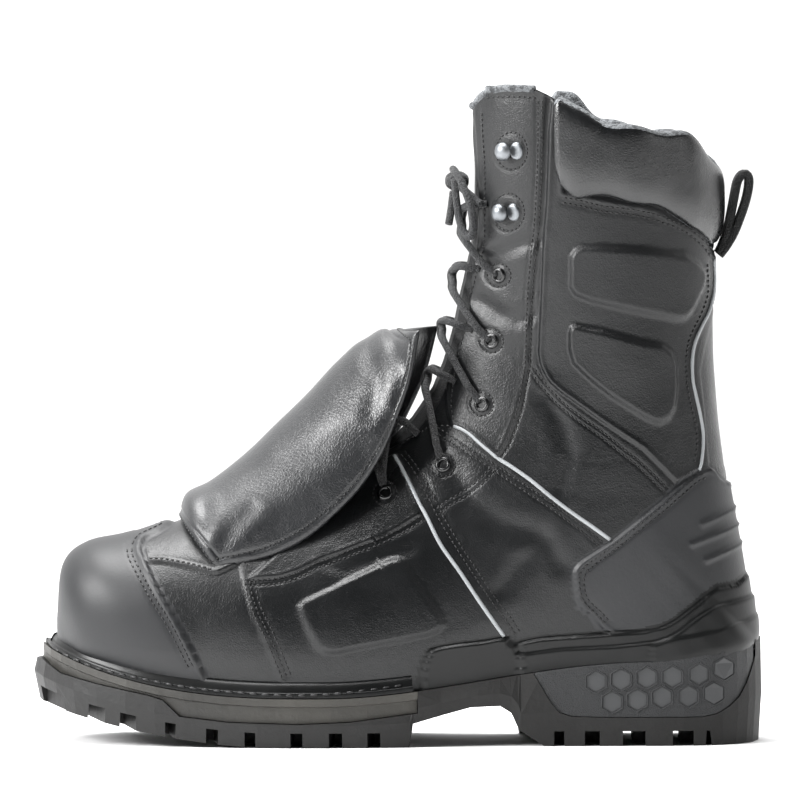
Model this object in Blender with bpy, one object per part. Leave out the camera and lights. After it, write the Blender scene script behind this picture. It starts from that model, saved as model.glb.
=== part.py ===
# A work boot with a padded metatarsal guard, left foot, modelled in metres.
# The toe points to -X, the outer side of the foot is -Y, and the sole rests on z = 0.
# Every length is named once here. The tables hold shares of these lengths.
import math

import bmesh
import bpy
import numpy as np
from mathutils import Matrix, Vector
from mathutils.bvhtree import BVHTree

LENGTH = 0.320            # outsole, toe to heel
HEIGHT = 0.287            # floor to the top of the eyestay
BALL_WIDTH = 0.114        # outsole across the ball
WALL = 0.0020             # leather of the upper
CLEARANCE = 0.0003        # gap between pieces that touch
OVERLAY = 0.0018          # leather laid over the upper: cap, counter, eyestay
BACKSTAY_THICKNESS = 0.0010
CUP_THICKNESS = 0.0034    # moulded heel cup
CUP_STEP = 0.0011         # how far its lower half stands out
WING_THICKNESS = 0.0030   # rubber that climbs the waist
SEAT_LOW = 0.0216         # floor to the feather line under the ball
TOE_SPRING = 0.0230       # rise of the feather line at the toe
HEEL_RISE = 0.0153        # rise of the feather line under the heel
HEEL_SCOOP = 0.0091       # extra rise at the very back
LUG_DEPTH = 0.0065
TREAD_SPRING = 0.0185     # rise of the tread at the toe
WELT_HEIGHT = 0.0068
BAND_HEIGHT = 0.0036      # thin band under the welt
HEEL_BASE = 0.0127        # floor to the top of the heel tread
HEX_WIDTH = 0.0088
HEX_DEPTH = 0.0009
GROOVE = 0.0052
CHANNEL = 0.0050
LUG_ROW = 0.0250          # length of the outer lugs, from the edge inwards
THROAT_HALF = 0.0170      # half of the gap between the eyestays
TONGUE_HALF = 0.0300
TONGUE_THICKNESS = 0.0045
INSOLE_THICKNESS = 0.0045
COLLAR_OUT = 0.0050       # padding outside the wall
COLLAR_IN = 0.0052        # padding inside the wall
COLLAR_TOP = 0.0034       # padding above the wall
GUARD_EDGE = 0.0030
GUARD_PAD = 0.0045        # what the guard's middle adds to its edge
EYELET_RADIUS = 0.0037
EYELET_HOLE = 0.0019
EYELET_HEIGHT = 0.0012
LACE_RADIUS = 0.00165
STRAP_WIDTH = 0.0170
STRAP_THICKNESS = 0.0017
CENTRE_SHIFT = 0.00149      # brings the middle of the sole's width to y = 0

# Outline of the outsole from above: share of LENGTH, then the outer and the inner edge in BALL_WIDTH.
OUTLINE = (
    # along, outer, inner
    (0.000, -0.070, 0.070),
    (0.010, 0.070, 0.205),
    (0.030, 0.180, 0.300),
    (0.060, 0.270, 0.365),
    (0.100, 0.340, 0.410),
    (0.150, 0.400, 0.445),
    (0.210, 0.445, 0.468),
    (0.280, 0.480, 0.478),
    (0.350, 0.503, 0.470),
    (0.420, 0.500, 0.440),
    (0.500, 0.468, 0.392),
    (0.580, 0.425, 0.352),
    (0.660, 0.392, 0.342),
    (0.740, 0.378, 0.356),
    (0.820, 0.376, 0.368),
    (0.880, 0.366, 0.362),
    (0.930, 0.332, 0.330),
    (0.965, 0.262, 0.262),
    (0.988, 0.160, 0.160),
    (1.000, 0.000, 0.000),
)
# How far the feather line of the upper lies inside that outline, in LENGTH.
FEATHER = (
    # along, inset
    (0.00, 0.0385),
    (0.06, 0.0300),
    (0.15, 0.0255),
    (0.35, 0.0225),
    (0.60, 0.0212),
    (0.85, 0.0188),
    (1.00, 0.0172),
)
# Sections of the upper, each a plane that holds a back point and a front point of the side view.
# Places are shares of LENGTH and HEIGHT, half widths and the ridge's sideways place shares of BALL_WIDTH.
# back up 0 means on the feather line. widest is where the section is widest, from the back point to the
# front one. round is 0 where the section is open below and 1 where it closes behind the heel.
SECTIONS = (
    # name, back along, back up, front along, front up, outer, inner, ridge, widest, round, full
    ("toe rim", 0.0405, 0, 0.0385, 0.146, 0.020, 0.150, 0.062, 0.20, 0.0, 2.4),
    ("toe wall", 0.058, 0, 0.0385, 0.196, 0.130, 0.252, 0.060, 0.22, 0.0, 2.4),
    ("toe edge", 0.089, 0, 0.0455, 0.266, 0.262, 0.338, 0.056, 0.26, 0.0, 2.4),
    ("toe top", 0.133, 0, 0.075, 0.297, 0.340, 0.385, 0.050, 0.28, 0.0, 2.4),
    ("cap back", 0.188, 0, 0.126, 0.310, 0.390, 0.412, 0.044, 0.28, 0.0, 2.3),
    ("vamp", 0.250, 0, 0.191, 0.329, 0.420, 0.428, 0.038, 0.27, 0.0, 2.15),
    ("ball", 0.332, 0, 0.270, 0.359, 0.453, 0.432, 0.032, 0.25, 0.0, 2.0),
    ("joint", 0.414, 0, 0.359, 0.393, 0.455, 0.414, 0.026, 0.23, 0.0, 1.9),
    ("low instep", 0.503, 0, 0.435, 0.430, 0.432, 0.378, 0.020, 0.22, 0.0, 1.85),
    ("instep", 0.597, 0, 0.495, 0.469, 0.396, 0.352, 0.014, 0.22, 0.0, 1.85),
    ("throat", 0.702, 0, 0.535, 0.518, 0.368, 0.347, 0.010, 0.25, 0.0, 1.88),
    ("ankle", 0.812, 0, 0.553, 0.567, 0.360, 0.352, 0.006, 0.32, 0.05, 1.9),
    ("heel fore", 0.901, 0, 0.561, 0.601, 0.358, 0.354, 0.003, 0.38, 0.25, 1.95),
    ("heel side", 0.956, 0, 0.567, 0.627, 0.355, 0.353, 0.002, 0.42, 0.70, 2.0),
    ("heel corner", 0.982, 0, 0.571, 0.648, 0.352, 0.350, 0.000, 0.44, 1.0, 2.0),
    ("counter low", 0.979, 0.206, 0.576, 0.676, 0.348, 0.348, 0.000, 0.44, 1.0, 2.0),
    ("counter", 0.970, 0.275, 0.582, 0.703, 0.346, 0.346, 0.000, 0.44, 1.0, 2.05),
    ("counter top", 0.957, 0.355, 0.588, 0.734, 0.348, 0.348, 0.000, 0.45, 1.0, 2.1),
    ("ankle back", 0.945, 0.440, 0.594, 0.766, 0.356, 0.356, 0.000, 0.46, 1.0, 2.1),
    ("calf low", 0.9355, 0.532, 0.597, 0.803, 0.368, 0.368, 0.000, 0.47, 1.0, 2.15),
    ("calf", 0.9315, 0.630, 0.598, 0.844, 0.382, 0.382, 0.000, 0.47, 1.0, 2.2),
    ("calf top", 0.9315, 0.731, 0.598, 0.890, 0.398, 0.398, 0.000, 0.48, 1.0, 2.3),
    ("collar low", 0.934, 0.833, 0.597, 0.940, 0.414, 0.414, 0.000, 0.48, 1.0, 2.35),
    ("collar", 0.932, 0.963, 0.599, 1.030, 0.432, 0.432, 0.000, 0.48, 1.0, 2.4),
)
THROAT_SECTIONS = (
    # section number, share of THROAT_HALF
    (8.15, 0.30),
    (8.40, 0.62),
    (8.80, 0.78),
    (9.50, 0.86),
    (11.0, 0.92),
    (14.0, 1.00),
    (19.0, 1.04),
    (23.0, 1.08),
)
# The met guard: crest and outer edge in the side view, half width at the edge in BALL_WIDTH.
GUARD_SECTIONS = (
    # crest along, crest up, edge along, edge up, half, inner edge shift along, full
    (0.2005, 0.338, 0.2545, 0.264, 0.365, 0.000, 2.3),
    (0.2040, 0.362, 0.2580, 0.268, 0.367, 0.000, 2.3),
    (0.2130, 0.3795, 0.2660, 0.272, 0.369, 0.000, 2.3),
    (0.2430, 0.397, 0.2880, 0.276, 0.374, 0.000, 2.2),
    (0.2900, 0.438, 0.3300, 0.288, 0.378, 0.000, 2.1),
    (0.3320, 0.481, 0.3750, 0.313, 0.372, 0.000, 2.05),
    (0.3740, 0.527, 0.4140, 0.349, 0.362, 0.002, 2.0),
    (0.4140, 0.576, 0.4500, 0.391, 0.352, 0.006, 2.0),
    (0.4510, 0.6115, 0.4800, 0.443, 0.345, 0.010, 2.0),
    (0.4750, 0.6255, 0.5020, 0.502, 0.340, 0.016, 2.0),
    (0.4920, 0.6285, 0.5190, 0.560, 0.336, 0.021, 2.0),
    (0.5030, 0.6300, 0.5300, 0.631, 0.332, 0.026, 2.0),
)
# Edges in the side view, as shares of LENGTH and HEIGHT.
CAP_EDGE = (
    # along, up
    (0.1910, 0.380),
    (0.1950, 0.337),
    (0.1880, 0.326),
    (0.1740, 0.317),
    (0.1600, 0.310),
    (0.1530, 0.303),
    (0.1510, 0.292),
    (0.1560, 0.278),
    (0.1740, 0.240),
    (0.2020, 0.188),
    (0.2290, 0.131),
    (0.2500, 0.076),
)
COUNTER_EDGE = (
    (1.060, 0.387),
    (0.959, 0.387),
    (0.937, 0.402),
    (0.925, 0.419),
    (0.908, 0.413),
    (0.888, 0.398),
    (0.833, 0.346),
    (0.791, 0.309),
    (0.750, 0.280),
    (0.741, 0.265),
    (0.745, 0.222),
    (0.764, 0.199),
)
CUP_TOP = (
    (0.664, 0.161),
    (0.695, 0.164),
    (0.778, 0.170),
    (0.833, 0.174),
    (0.874, 0.188),
    (0.901, 0.211),
    (0.931, 0.237),
    (0.967, 0.248),
    (0.984, 0.260),
    (1.060, 0.263),
)
CUP_STEP_LINE = (
    (0.650, 0.141),
    (0.723, 0.148),
    (0.791, 0.151),
    (0.846, 0.157),
    (0.881, 0.171),
    (0.922, 0.205),
    (0.970, 0.219),
    (1.060, 0.229),
)
WING_EDGE = (
    (0.5315, 0.030),
    (0.5315, 0.110),
    (0.5450, 0.145),
    (0.5580, 0.151),
    (0.5860, 0.156),
    (0.6130, 0.159),
    (0.6430, 0.165),
    (0.6510, 0.159),
    (0.6560, 0.145),
    (0.6600, 0.030),
)
EYESTAY_EDGE = (
    (0.560, 1.060),
    (0.540, 0.560),
    (0.470, 0.470),
    (0.463, 0.425),
    (0.462, 0.385),
    (0.483, 0.352),
    (0.553, 0.355),
    (0.627, 0.424),
    (0.660, 0.489),
    (0.676, 0.581),
    (0.679, 0.673),
    (0.686, 0.765),
    (0.693, 0.902),
    (0.693, 1.060),
)
BACKSTAY_EDGE = (
    (1.060, 0.746),
    (0.915, 0.741),
    (0.933, 0.700),
    (0.925, 0.654),
    (0.903, 0.596),
    (0.901, 0.573),
    (0.912, 0.500),
    (0.914, 0.430),
    (0.925, 0.424),
    (0.937, 0.407),
    (0.959, 0.392),
    (1.060, 0.392),
)
UPPER_TOP = (
    (0.560, 0.955),
    (0.606, 0.966),
    (0.617, 0.986),
    (0.647, 0.999),
    (0.682, 0.997),
    (0.708, 0.984),
    (0.723, 0.960),
    (0.778, 0.936),
    (0.853, 0.925),
    (0.881, 0.919),
    (0.901, 0.902),
    (0.922, 0.876),
    (0.942, 0.847),
    (1.060, 0.800),
)
# Lower edge of the collar padding, share of LENGTH and HEIGHT, from the front to the back.
COLLAR_LOW = (
    (0.713, 0.862),
    (0.737, 0.838),
    (0.778, 0.833),
    (0.846, 0.816),
    (0.888, 0.800),
    (0.915, 0.772),
    (0.945, 0.748),
)
# Heights of the sole's layers along the boot: share of LENGTH, height in metres.
BASE_OF_MIDSOLE = (
    (0.000, 0.0362),
    (0.012, 0.0362),
    (0.040, 0.0307),
    (0.092, 0.0268),
    (0.160, 0.0226),
    (0.181, 0.0206),
    (0.204, 0.0136),
    (0.270, 0.0113),
    (0.366, 0.0105),
    (0.435, 0.0114),
    (0.515, 0.0146),
    (1.000, 0.0150),
)
BASE_OF_INSERT = (
    (0.6820, 0.0333),
    (0.6955, 0.0263),
    (0.7090, 0.0189),
    (0.7200, 0.0149),
    (0.7370, 0.0132),
    (0.7800, 0.0127),
    (0.9150, 0.0127),
    (0.9360, 0.0140),
    (0.9530, 0.0171),
    (0.9670, 0.0211),
    (0.9765, 0.0263),
    (0.9835, 0.0320),
    (0.9890, 0.0380),
)
ARCH = (
    # along, height of the underside
    (0.517, 0.0065),
    (0.522, 0.0110),
    (0.560, 0.0138),
    (0.600, 0.0172),
    (0.640, 0.0176),
    (0.655, 0.0145),
    (0.664, 0.0080),
    (0.668, 0.0065),
)
# Grooves between the outer lugs: share of LENGTH, groove width in GROOVE, slant in degrees.
FORE_GROOVES = (
    # along, width, slant
    (0.0270, 0.95, 26),
    (0.0780, 1.05, 20),
    (0.1260, 1.20, 14),
    (0.1870, 0.85, 9),
    (0.2455, 1.00, 6),
    (0.3000, 0.90, 0),
    (0.3650, 1.00, -4),
    (0.4190, 1.10, -6),
    (0.4720, 1.05, -8),
)
HEEL_GROOVES = (
    (0.7200, 0.85, 0),
    (0.7650, 1.25, 0),
    (0.8220, 1.90, 0),
    (0.8890, 1.75, 0),
    (0.9500, 1.00, -40),
)
HEXAGONS = (
    # along, up, for the two rows on the heel insert
    (0.770, 0.098),
    (0.804, 0.101),
    (0.839, 0.104),
    (0.874, 0.105),
    (0.911, 0.108),
    (0.945, 0.116),
    (0.792, 0.067),
    (0.826, 0.070),
    (0.860, 0.074),
    (0.896, 0.075),
)
# Eyelets and hooks, share of LENGTH and HEIGHT.
EYELETS = (
    (0.483, 0.382),
    (0.562, 0.425),
    (0.615, 0.517),
    (0.628, 0.613),
    (0.638, 0.713),
)
HOOKS = (
    (0.645, 0.809),
    (0.649, 0.902),
)
LOOP_PATH = (
    # along, up of the webbing's middle line
    (0.9396, 0.688),
    (0.9396, 0.722),
    (0.9470, 0.741),
    (0.9575, 0.762),
    (0.9615, 0.800),
    (0.9640, 0.836),
    (0.9705, 0.861),
    (0.9790, 0.865),
    (0.9845, 0.850),
    (0.9830, 0.826),
    (0.9755, 0.782),
    (0.9650, 0.744),
    (0.9530, 0.722),
    (0.9462, 0.705),
    (0.9462, 0.688),
)

for old in list(bpy.data.objects):
    bpy.data.objects.remove(old, do_unlink=True)
part_set = bpy.data.collections.new("boot")
cutter_set = bpy.data.collections.new("cutters")
bpy.context.scene.collection.children.link(part_set)
bpy.context.scene.collection.children.link(cutter_set)


def along(share):
    return (share - 0.5) * LENGTH


def smooth(t):
    t = np.clip(t, 0.0, 1.0)
    return t * t * (3.0 - 2.0 * t)


def seat(x):
    """Height of the feather line at x."""
    share = x / LENGTH + 0.5
    toe = np.clip((0.366 - share) / 0.366, 0.0, 1.0)
    back = np.clip((share - 0.85) / 0.15, 0.0, 1.2)
    return SEAT_LOW + TOE_SPRING * toe ** 2.45 + HEEL_RISE * smooth((share - 0.40) / 0.45) + HEEL_SCOOP * back ** 1.5


def tread(x):
    """Height of the lowest faces of the tread at x."""
    share = x / LENGTH + 0.5
    toe = np.clip((0.330 - share) / 0.330, 0.0, 1.0)
    return TREAD_SPRING * toe ** 1.75


def table(rows, x, column=1):
    shares = [row[0] for row in rows]
    values = [row[column] for row in rows]
    return np.interp(x / LENGTH + 0.5, shares, values)


def curve(xs, ys, x):
    """Smooth curve without overshoot through the points of a table."""
    xs = np.asarray(xs, float)
    ys = np.asarray(ys, float)
    step = np.diff(xs)
    slope = np.diff(ys) / step
    grade = np.zeros(len(xs))
    for i in range(1, len(xs) - 1):
        if slope[i - 1] * slope[i] > 0:
            a = 2 * step[i] + step[i - 1]
            b = step[i] + 2 * step[i - 1]
            grade[i] = (a + b) / (a / slope[i - 1] + b / slope[i])
    grade[0] = slope[0]
    grade[-1] = slope[-1]
    x = np.clip(x, xs[0], xs[-1])
    i = np.clip(np.searchsorted(xs, x) - 1, 0, len(step) - 1)
    t = (x - xs[i]) / step[i]
    low = ys[i] * (2 * t ** 3 - 3 * t ** 2 + 1) + ys[i + 1] * (3 * t ** 2 - 2 * t ** 3)
    return low + step[i] * (grade[i] * (t ** 3 - 2 * t ** 2 + t) + grade[i + 1] * (t ** 3 - t ** 2))


def spline(values, s):
    """Rounded curve through equally spaced values, at place s."""
    values = np.asarray(values, float)
    last = len(values) - 1
    s = np.clip(s, 0, last)
    i = np.minimum(np.floor(s).astype(int), last - 1)
    t = s - i
    before = values[np.maximum(i - 1, 0)]
    after = values[np.minimum(i + 2, last)]
    a = values[i]
    b = values[i + 1]
    ga = (b - before) / 2
    gb = (after - a) / 2
    return (a * (2 * t ** 3 - 3 * t ** 2 + 1) + b * (3 * t ** 2 - 2 * t ** 3)
            + ga * (t ** 3 - 2 * t ** 2 + t) + gb * (t ** 3 - t ** 2))


# Outline of the sole, and rings inside it
OUT = [np.array(column) for column in zip(*OUTLINE)]


def outline(shares, inset):
    """Outer-side and inner-side points of the outline at these shares, moved in by inset(share)."""
    shares = np.asarray(shares, float)
    fine = (1 - np.cos(np.linspace(0, math.pi, 241))) / 2
    outer = -curve(OUT[0], OUT[1], fine) * BALL_WIDTH
    inner = curve(OUT[0], OUT[2], fine) * BALL_WIDTH
    loop = np.concatenate([np.stack([along(fine), outer], 1), np.stack([along(fine), inner], 1)[::-1][1:-1]])
    side = np.concatenate([fine, fine[::-1][1:-1]])
    run = np.roll(loop, -1, 0) - np.roll(loop, 1, 0)
    normal = np.stack([-run[:, 1], run[:, 0]], 1)
    normal /= np.linalg.norm(normal, axis=1)[:, None]
    loop = loop + normal * inset(side)[:, None]
    n = len(fine)
    low = loop[:n]
    high = np.concatenate([loop[:1], loop[n:][::-1], loop[n - 1:n]])
    result = []
    for run in (low, high):
        result.append(np.stack([np.interp(shares, fine, run[:, 0]), np.interp(shares, fine, run[:, 1])], 1))
    return result


def feather_inset(share):
    return np.interp(share, [row[0] for row in FEATHER], [row[1] for row in FEATHER]) * LENGTH


FEATHER_SHARES = (1 - np.cos(np.linspace(0, math.pi, 161))) / 2
FEATHER_OUTER, FEATHER_INNER = outline(FEATHER_SHARES, feather_inset)


def feather(x, side):
    """Sideways place of the feather line at x, side -1 outer and +1 inner."""
    points = FEATHER_OUTER if side < 0 else FEATHER_INNER
    return np.interp(x, points[:, 0], points[:, 1])


# The upper's own function: half a section from the back point to the ridge
COLUMN = {name: [row[k] for row in SECTIONS] for k, name in enumerate(
    ("name", "bx", "bz", "tx", "tz", "outer", "inner", "ridge", "widest", "round", "full"))}
LAST = len(SECTIONS) - 1
CORNER = 14


def section_ends(s):
    bx = along(spline(COLUMN["bx"], s))
    lift = [seat(along(x)) if z == 0 else z * HEIGHT for x, z in zip(COLUMN["bx"], COLUMN["bz"])]
    bz = seat(bx) if s <= CORNER else spline(lift, s)
    return bx, bz, along(spline(COLUMN["tx"], s)), spline(COLUMN["tz"], s) * HEIGHT


def half_section(s, side, count):
    """Points of one side of section s, evenly spaced from the back point or feather line to the ridge."""
    bx, bz, tx, tz = section_ends(s)
    ridge = spline(COLUMN["ridge"], s) * BALL_WIDTH
    start = feather(bx, side) if s < CORNER else 0.0
    wide = side * spline(COLUMN["outer" if side < 0 else "inner"], s) * BALL_WIDTH
    if s < CORNER:
        wide = side * max(side * wide, side * start + 0.0004)
    widest = spline(COLUMN["widest"], s)
    closed = np.clip(spline(COLUMN["round"], s), 0, 1)
    full = spline(COLUMN["full"], s)
    t = np.linspace(0, 1, 41)
    if closed > 0.5:
        t = 1 - np.cos(t * math.pi / 2)
    rise = (1 - closed) * smooth(t) + closed * np.sqrt(np.clip(1 - (1 - t) ** 2, 0, 1))
    low_v = t * widest
    low_y = start + (wide - start) * rise
    angle = np.linspace(0, math.pi / 2, 61)[1:]
    high_v = widest + (1 - widest) * np.sin(angle) ** (2 / full)
    high_y = ridge + (wide - ridge) * np.clip(np.cos(angle), 0, 1) ** (2 / full)
    v = np.concatenate([low_v, high_v])
    points = np.stack([bx + v * (tx - bx), np.concatenate([low_y, high_y]), bz + v * (tz - bz)], 1)
    way = np.concatenate([[0], np.cumsum(np.linalg.norm(np.diff(points, axis=0), axis=1))])
    even = np.linspace(0, way[-1], count)
    return np.stack([np.interp(even, way, points[:, k]) for k in range(3)], 1)


ROWS = np.array([0.35, 1, 1.5, 2, 2.5, 3, 4, 5, 6, 7, 8, 9, 10, 11, 12, 12.9, 13.5, 14, 15, 16, 17, 18, 19, 20, 21,
                 22, 23])
HALF_COLUMNS = 10


def upper_grid(rows=ROWS, half=HALF_COLUMNS):
    """Points and outward normals of the upper, a row per section from the outer feather line over the ridge."""
    grid = []
    for s in rows:
        outer = half_section(s, -1, half)
        inner = half_section(s, 1, half)
        grid.append(np.concatenate([outer, inner[::-1][1:]]))
    grid = np.array(grid)
    down = np.gradient(grid, axis=0)
    across = np.gradient(grid, axis=1)
    back = np.asarray(rows) >= CORNER
    across[back, 0] = across[back, -1] = np.stack([np.zeros(back.sum()), np.full(back.sum(), -1.0),
                                                   np.zeros(back.sum())], 1)
    normal = np.cross(down, across)
    normal[back, 0, 1] = normal[back, -1, 1] = 0
    normal[~back, 0, 2] = normal[~back, -1, 2] = 0
    length = np.linalg.norm(normal, axis=2)[..., None]
    normal = normal / np.maximum(length, 1e-12)
    return grid, normal


GRID, NORMAL = upper_grid()


def keep(name, verts, faces, target=part_set, smooth_shaded=True):
    mesh = bpy.data.meshes.new(name)
    bm = bmesh.new()
    made = [bm.verts.new([float(c) for c in v]) for v in verts]
    for face in faces:
        corners = []
        for i in face:
            if made[i] not in corners:
                corners.append(made[i])
        if len(corners) > 2:
            bm.faces.new(corners)
    bmesh.ops.remove_doubles(bm, verts=bm.verts, dist=0.00001)
    bmesh.ops.dissolve_degenerate(bm, dist=0.000001, edges=bm.edges)
    bmesh.ops.recalc_face_normals(bm, faces=bm.faces)
    bm.to_mesh(mesh)
    bm.free()
    for polygon in mesh.polygons:
        polygon.use_smooth = smooth_shaded
    thing = bpy.data.objects.new(name, mesh)
    target.objects.link(thing)
    if target is cutter_set:
        thing.hide_render = True
        thing.display_type = "WIRE"
    return thing


def form(name, offset, skirt=0.0, target=cutter_set):
    """The whole outer shape of the upper as one closed body, grown by offset."""
    points = GRID + NORMAL * offset
    rows, columns = points.shape[:2]
    corner = int(np.searchsorted(ROWS, CORNER))
    if skirt:
        extra_low = points[:corner + 1, 0] - np.array([0, 0, skirt])
        extra_high = points[:corner + 1, -1] - np.array([0, 0, skirt])
    verts = [tuple(p) for p in points.reshape(-1, 3)]
    faces = []
    for i in range(rows - 1):
        for j in range(columns - 1):
            a = i * columns + j
            faces.append((a, a + 1, a + columns + 1))
            faces.append((a, a + columns + 1, a + columns))
    first = [i * columns for i in range(corner + 1)]
    last = [i * columns + columns - 1 for i in range(corner + 1)]
    if skirt:
        base = len(verts)
        verts += [tuple(p) for p in extra_low]
        verts += [tuple(p) for p in extra_high]
        n = corner + 1
        for i in range(corner):
            faces.append((first[i], first[i + 1], base + i + 1, base + i))
            faces.append((last[i], last[i + 1], base + n + i + 1, base + n + i))
        first = [base + i for i in range(n)]
        last = [base + n + i for i in range(n)]
        faces.append(tuple(list(range(columns)) + [last[0], first[0]]))
    else:
        faces.append(tuple(range(columns)))
    for i in range(corner):
        faces.append((first[i], last[i], last[i + 1]))
        faces.append((first[i], last[i + 1], first[i + 1]))
    faces.append(tuple((rows - 1) * columns + j for j in range(columns)))
    return keep(name, verts, faces, target)


def prism(name, edge, low=-0.2, high=0.2):
    """Cutter with this side view outline, between two sideways places."""
    points = [(along(row[0]), row[1] * HEIGHT) for row in edge]
    n = len(points)
    verts = [(x, low, z) for x, z in points] + [(x, high, z) for x, z in points]
    faces = [tuple(range(n)), tuple(range(n, 2 * n))]
    for i in range(n):
        j = (i + 1) % n
        faces.append((i, j, n + j, n + i))
    return keep(name, verts, faces, cutter_set, False)


def cut(thing, cutter, operation="DIFFERENCE"):
    modifier = thing.modifiers.new(operation.lower() + " " + cutter.name, "BOOLEAN")
    modifier.operation = operation
    modifier.solver = "EXACT"
    modifier.object = cutter
    return thing


def material(name, colour, metallic=0.0, roughness=0.5):
    made = bpy.data.materials.new(name)
    made.use_nodes = True
    shader = made.node_tree.nodes["Principled BSDF"]
    shader.inputs["Base Color"].default_value = (*colour, 1.0)
    shader.inputs["Metallic"].default_value = metallic
    shader.inputs["Roughness"].default_value = roughness
    made.diffuse_color = (*colour, 1.0)
    return made


def paint(thing, colour, metallic=0.0, roughness=0.5):
    thing.data.materials.clear()
    thing.data.materials.append(material(thing.name + "_material", colour, metallic, roughness))
    return thing


DARK = (0.02, 0.02, 0.022)
GREY = (0.07, 0.07, 0.075)

# Two cutters that meet along the feather line: what stands on the sole, and the sole itself
SEAT_STATIONS = np.linspace(-0.03, 1.03, 54)


def seat_line(lift):
    return tuple((share, (seat(along(share)) + lift) / HEIGHT) for share in SEAT_STATIONS)


under_seat = prism("cut_under_seat", seat_line(0.0) + ((1.03, -0.2), (-0.03, -0.2)))
over_seat = prism("cut_over_seat", seat_line(-CLEARANCE) + ((1.03, 0.6), (-0.03, 0.6)))

# The forms that the upper and its overlays are cut from
skin = form("form_skin", CLEARANCE, 0.003)
hollow = form("form_hollow", -WALL, 0.004)
top_cut = prism("cut_top", UPPER_TOP + ((1.060, 1.300), (0.560, 1.300)))


def ridge_frame(s):
    bx, bz, tx, tz = section_ends(s)
    ahead = section_ends(min(s + 0.1, LAST))
    behind = section_ends(max(s - 0.1, 0))
    run = np.array([ahead[2] - behind[2], ahead[3] - behind[3]])
    run /= np.linalg.norm(run)
    return np.array([tx, spline(COLUMN["ridge"], s) * BALL_WIDTH, tz]), np.array([-run[1], 0.0, run[0]])


def throat_tube(name, extra):
    """Cutter that opens the throat along the ridge."""
    verts = []
    faces = []
    stations = np.linspace(THROAT_SECTIONS[0][0], LAST, 26)
    for s in stations:
        half = np.interp(s, *zip(*THROAT_SECTIONS)) * THROAT_HALF + extra
        centre, out = ridge_frame(s)
        for y, depth in ((-half, 0.016), (half, 0.016), (half, -0.022), (-half, -0.022)):
            verts.append(centre + out * depth + np.array([0, y, 0]))
    n = len(stations)
    for i in range(n - 1):
        for k in range(4):
            a = i * 4 + k
            b = i * 4 + (k + 1) % 4
            faces.append((a, b, b + 4, a + 4))
    faces.append((0, 1, 2, 3))
    faces.append(tuple(4 * (n - 1) + k for k in range(4)))
    return keep(name, verts, faces, cutter_set, False)


throat = throat_tube("cut_throat", 0.0)

# The upper, one hollow piece: open at the collar, along the throat and underneath
upper = form("upper", 0.0, 0.002, part_set)
cut(upper, hollow)
cut(upper, under_seat)
cut(upper, throat)
cut(upper, top_cut)
paint(upper, GREY, 0, 0.55)


def overlay(name, thickness, edge, low=-0.2, high=0.2, opened=False, shade=DARK, seated=False):
    """A layer over the upper inside a side view outline."""
    piece = form(name, thickness + CLEARANCE, 0.002, part_set)
    cut(piece, prism("cut_" + name, edge, low, high), "INTERSECT")
    cut(piece, skin)
    if opened:
        cut(piece, throat)
        cut(piece, top_cut)
    if seated:
        cut(piece, under_seat)
    return paint(piece, shade, 0, 0.5)


def above(height, shares):
    """Line at this height over the feather line, for the lower end of an overlay."""
    return tuple((share, (seat(along(share)) + height) / HEIGHT) for share in shares)


# Everything over the welt starts a clearance above it
welt_line = above(WELT_HEIGHT + CLEARANCE, (0.300, 0.250, 0.200, 0.150, 0.110, 0.080, 0.055, 0.030, -0.030))
cap_rear = [row for row in CAP_EDGE if row[1] > welt_line[0][1]]
overlay("toe_cap", OVERLAY, tuple(cap_rear) + welt_line[1:] + ((-0.030, 0.380),))
cup_gap = CLEARANCE / HEIGHT
lifted_cup = tuple((a, u + cup_gap) for a, u in CUP_TOP[3:])
overlay("heel_counter", OVERLAY, COUNTER_EDGE + lifted_cup)
overlay("backstay", BACKSTAY_THICKNESS, BACKSTAY_EDGE, shade=GREY)
overlay("eyestay_outer", OVERLAY, EYESTAY_EDGE, -0.2, 0.0, True)
overlay("eyestay_inner", OVERLAY, EYESTAY_EDGE, 0.0, 0.2, True)

# The moulded cup round the heel stands on the insert, its lower half one step further out
cup = form("heel_cup", CUP_THICKNESS - CUP_STEP + CLEARANCE, 0.002, part_set)
cup_foot = form("form_cup", CUP_THICKNESS + CLEARANCE, 0.002)
cut(cup_foot, prism("cut_cup_step", CUP_STEP_LINE + ((1.060, 0.0), (0.650, 0.0))), "INTERSECT")
cut(cup, cup_foot, "UNION")
cut(cup, prism("cut_heel_cup", ((0.664, 0.02),) + CUP_TOP + ((1.060, 0.02),)), "INTERSECT")
cut(cup, skin)
cut(cup, under_seat)
paint(cup, (0.01, 0.01, 0.011), 0, 0.15)
for side, low, high in (("outer", -0.2, -0.005), ("inner", 0.005, 0.2)):
    overlay("waist_wing_" + side, WING_THICKNESS, WING_EDGE, low, high, seated=True)


def layer(name, shares, rings, target=part_set, smooth_shaded=False):
    """Closed body from rings that follow the outline, each with an inset and a height along the boot."""
    whole_start = shares[0] == 0
    whole_end = shares[-1] == 1
    verts = []
    n = len(shares)
    for inset, height in rings:
        outer, inner = outline(shares, inset)
        for side in (outer, inner):
            for point in side:
                verts.append((point[0], point[1], height(point[0])))
    faces = []
    for r in range(len(rings) - 1):
        low = r * 2 * n
        high = low + 2 * n
        for i in range(n - 1):
            faces.append((low + i, low + i + 1, high + i + 1, high + i))
            faces.append((low + n + i, low + n + i + 1, high + n + i + 1, high + n + i))
        if not whole_start:
            faces.append((low, low + n, high + n, high))
        if not whole_end:
            faces.append((low + n - 1, low + 2 * n - 1, high + 2 * n - 1, high + n - 1))
    for low in (0, (len(rings) - 1) * 2 * n):
        for i in range(n - 1):
            faces.append((low + i, low + i + 1, low + n + i + 1, low + n + i))
    return keep(name, verts, faces, target, smooth_shaded)


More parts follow.
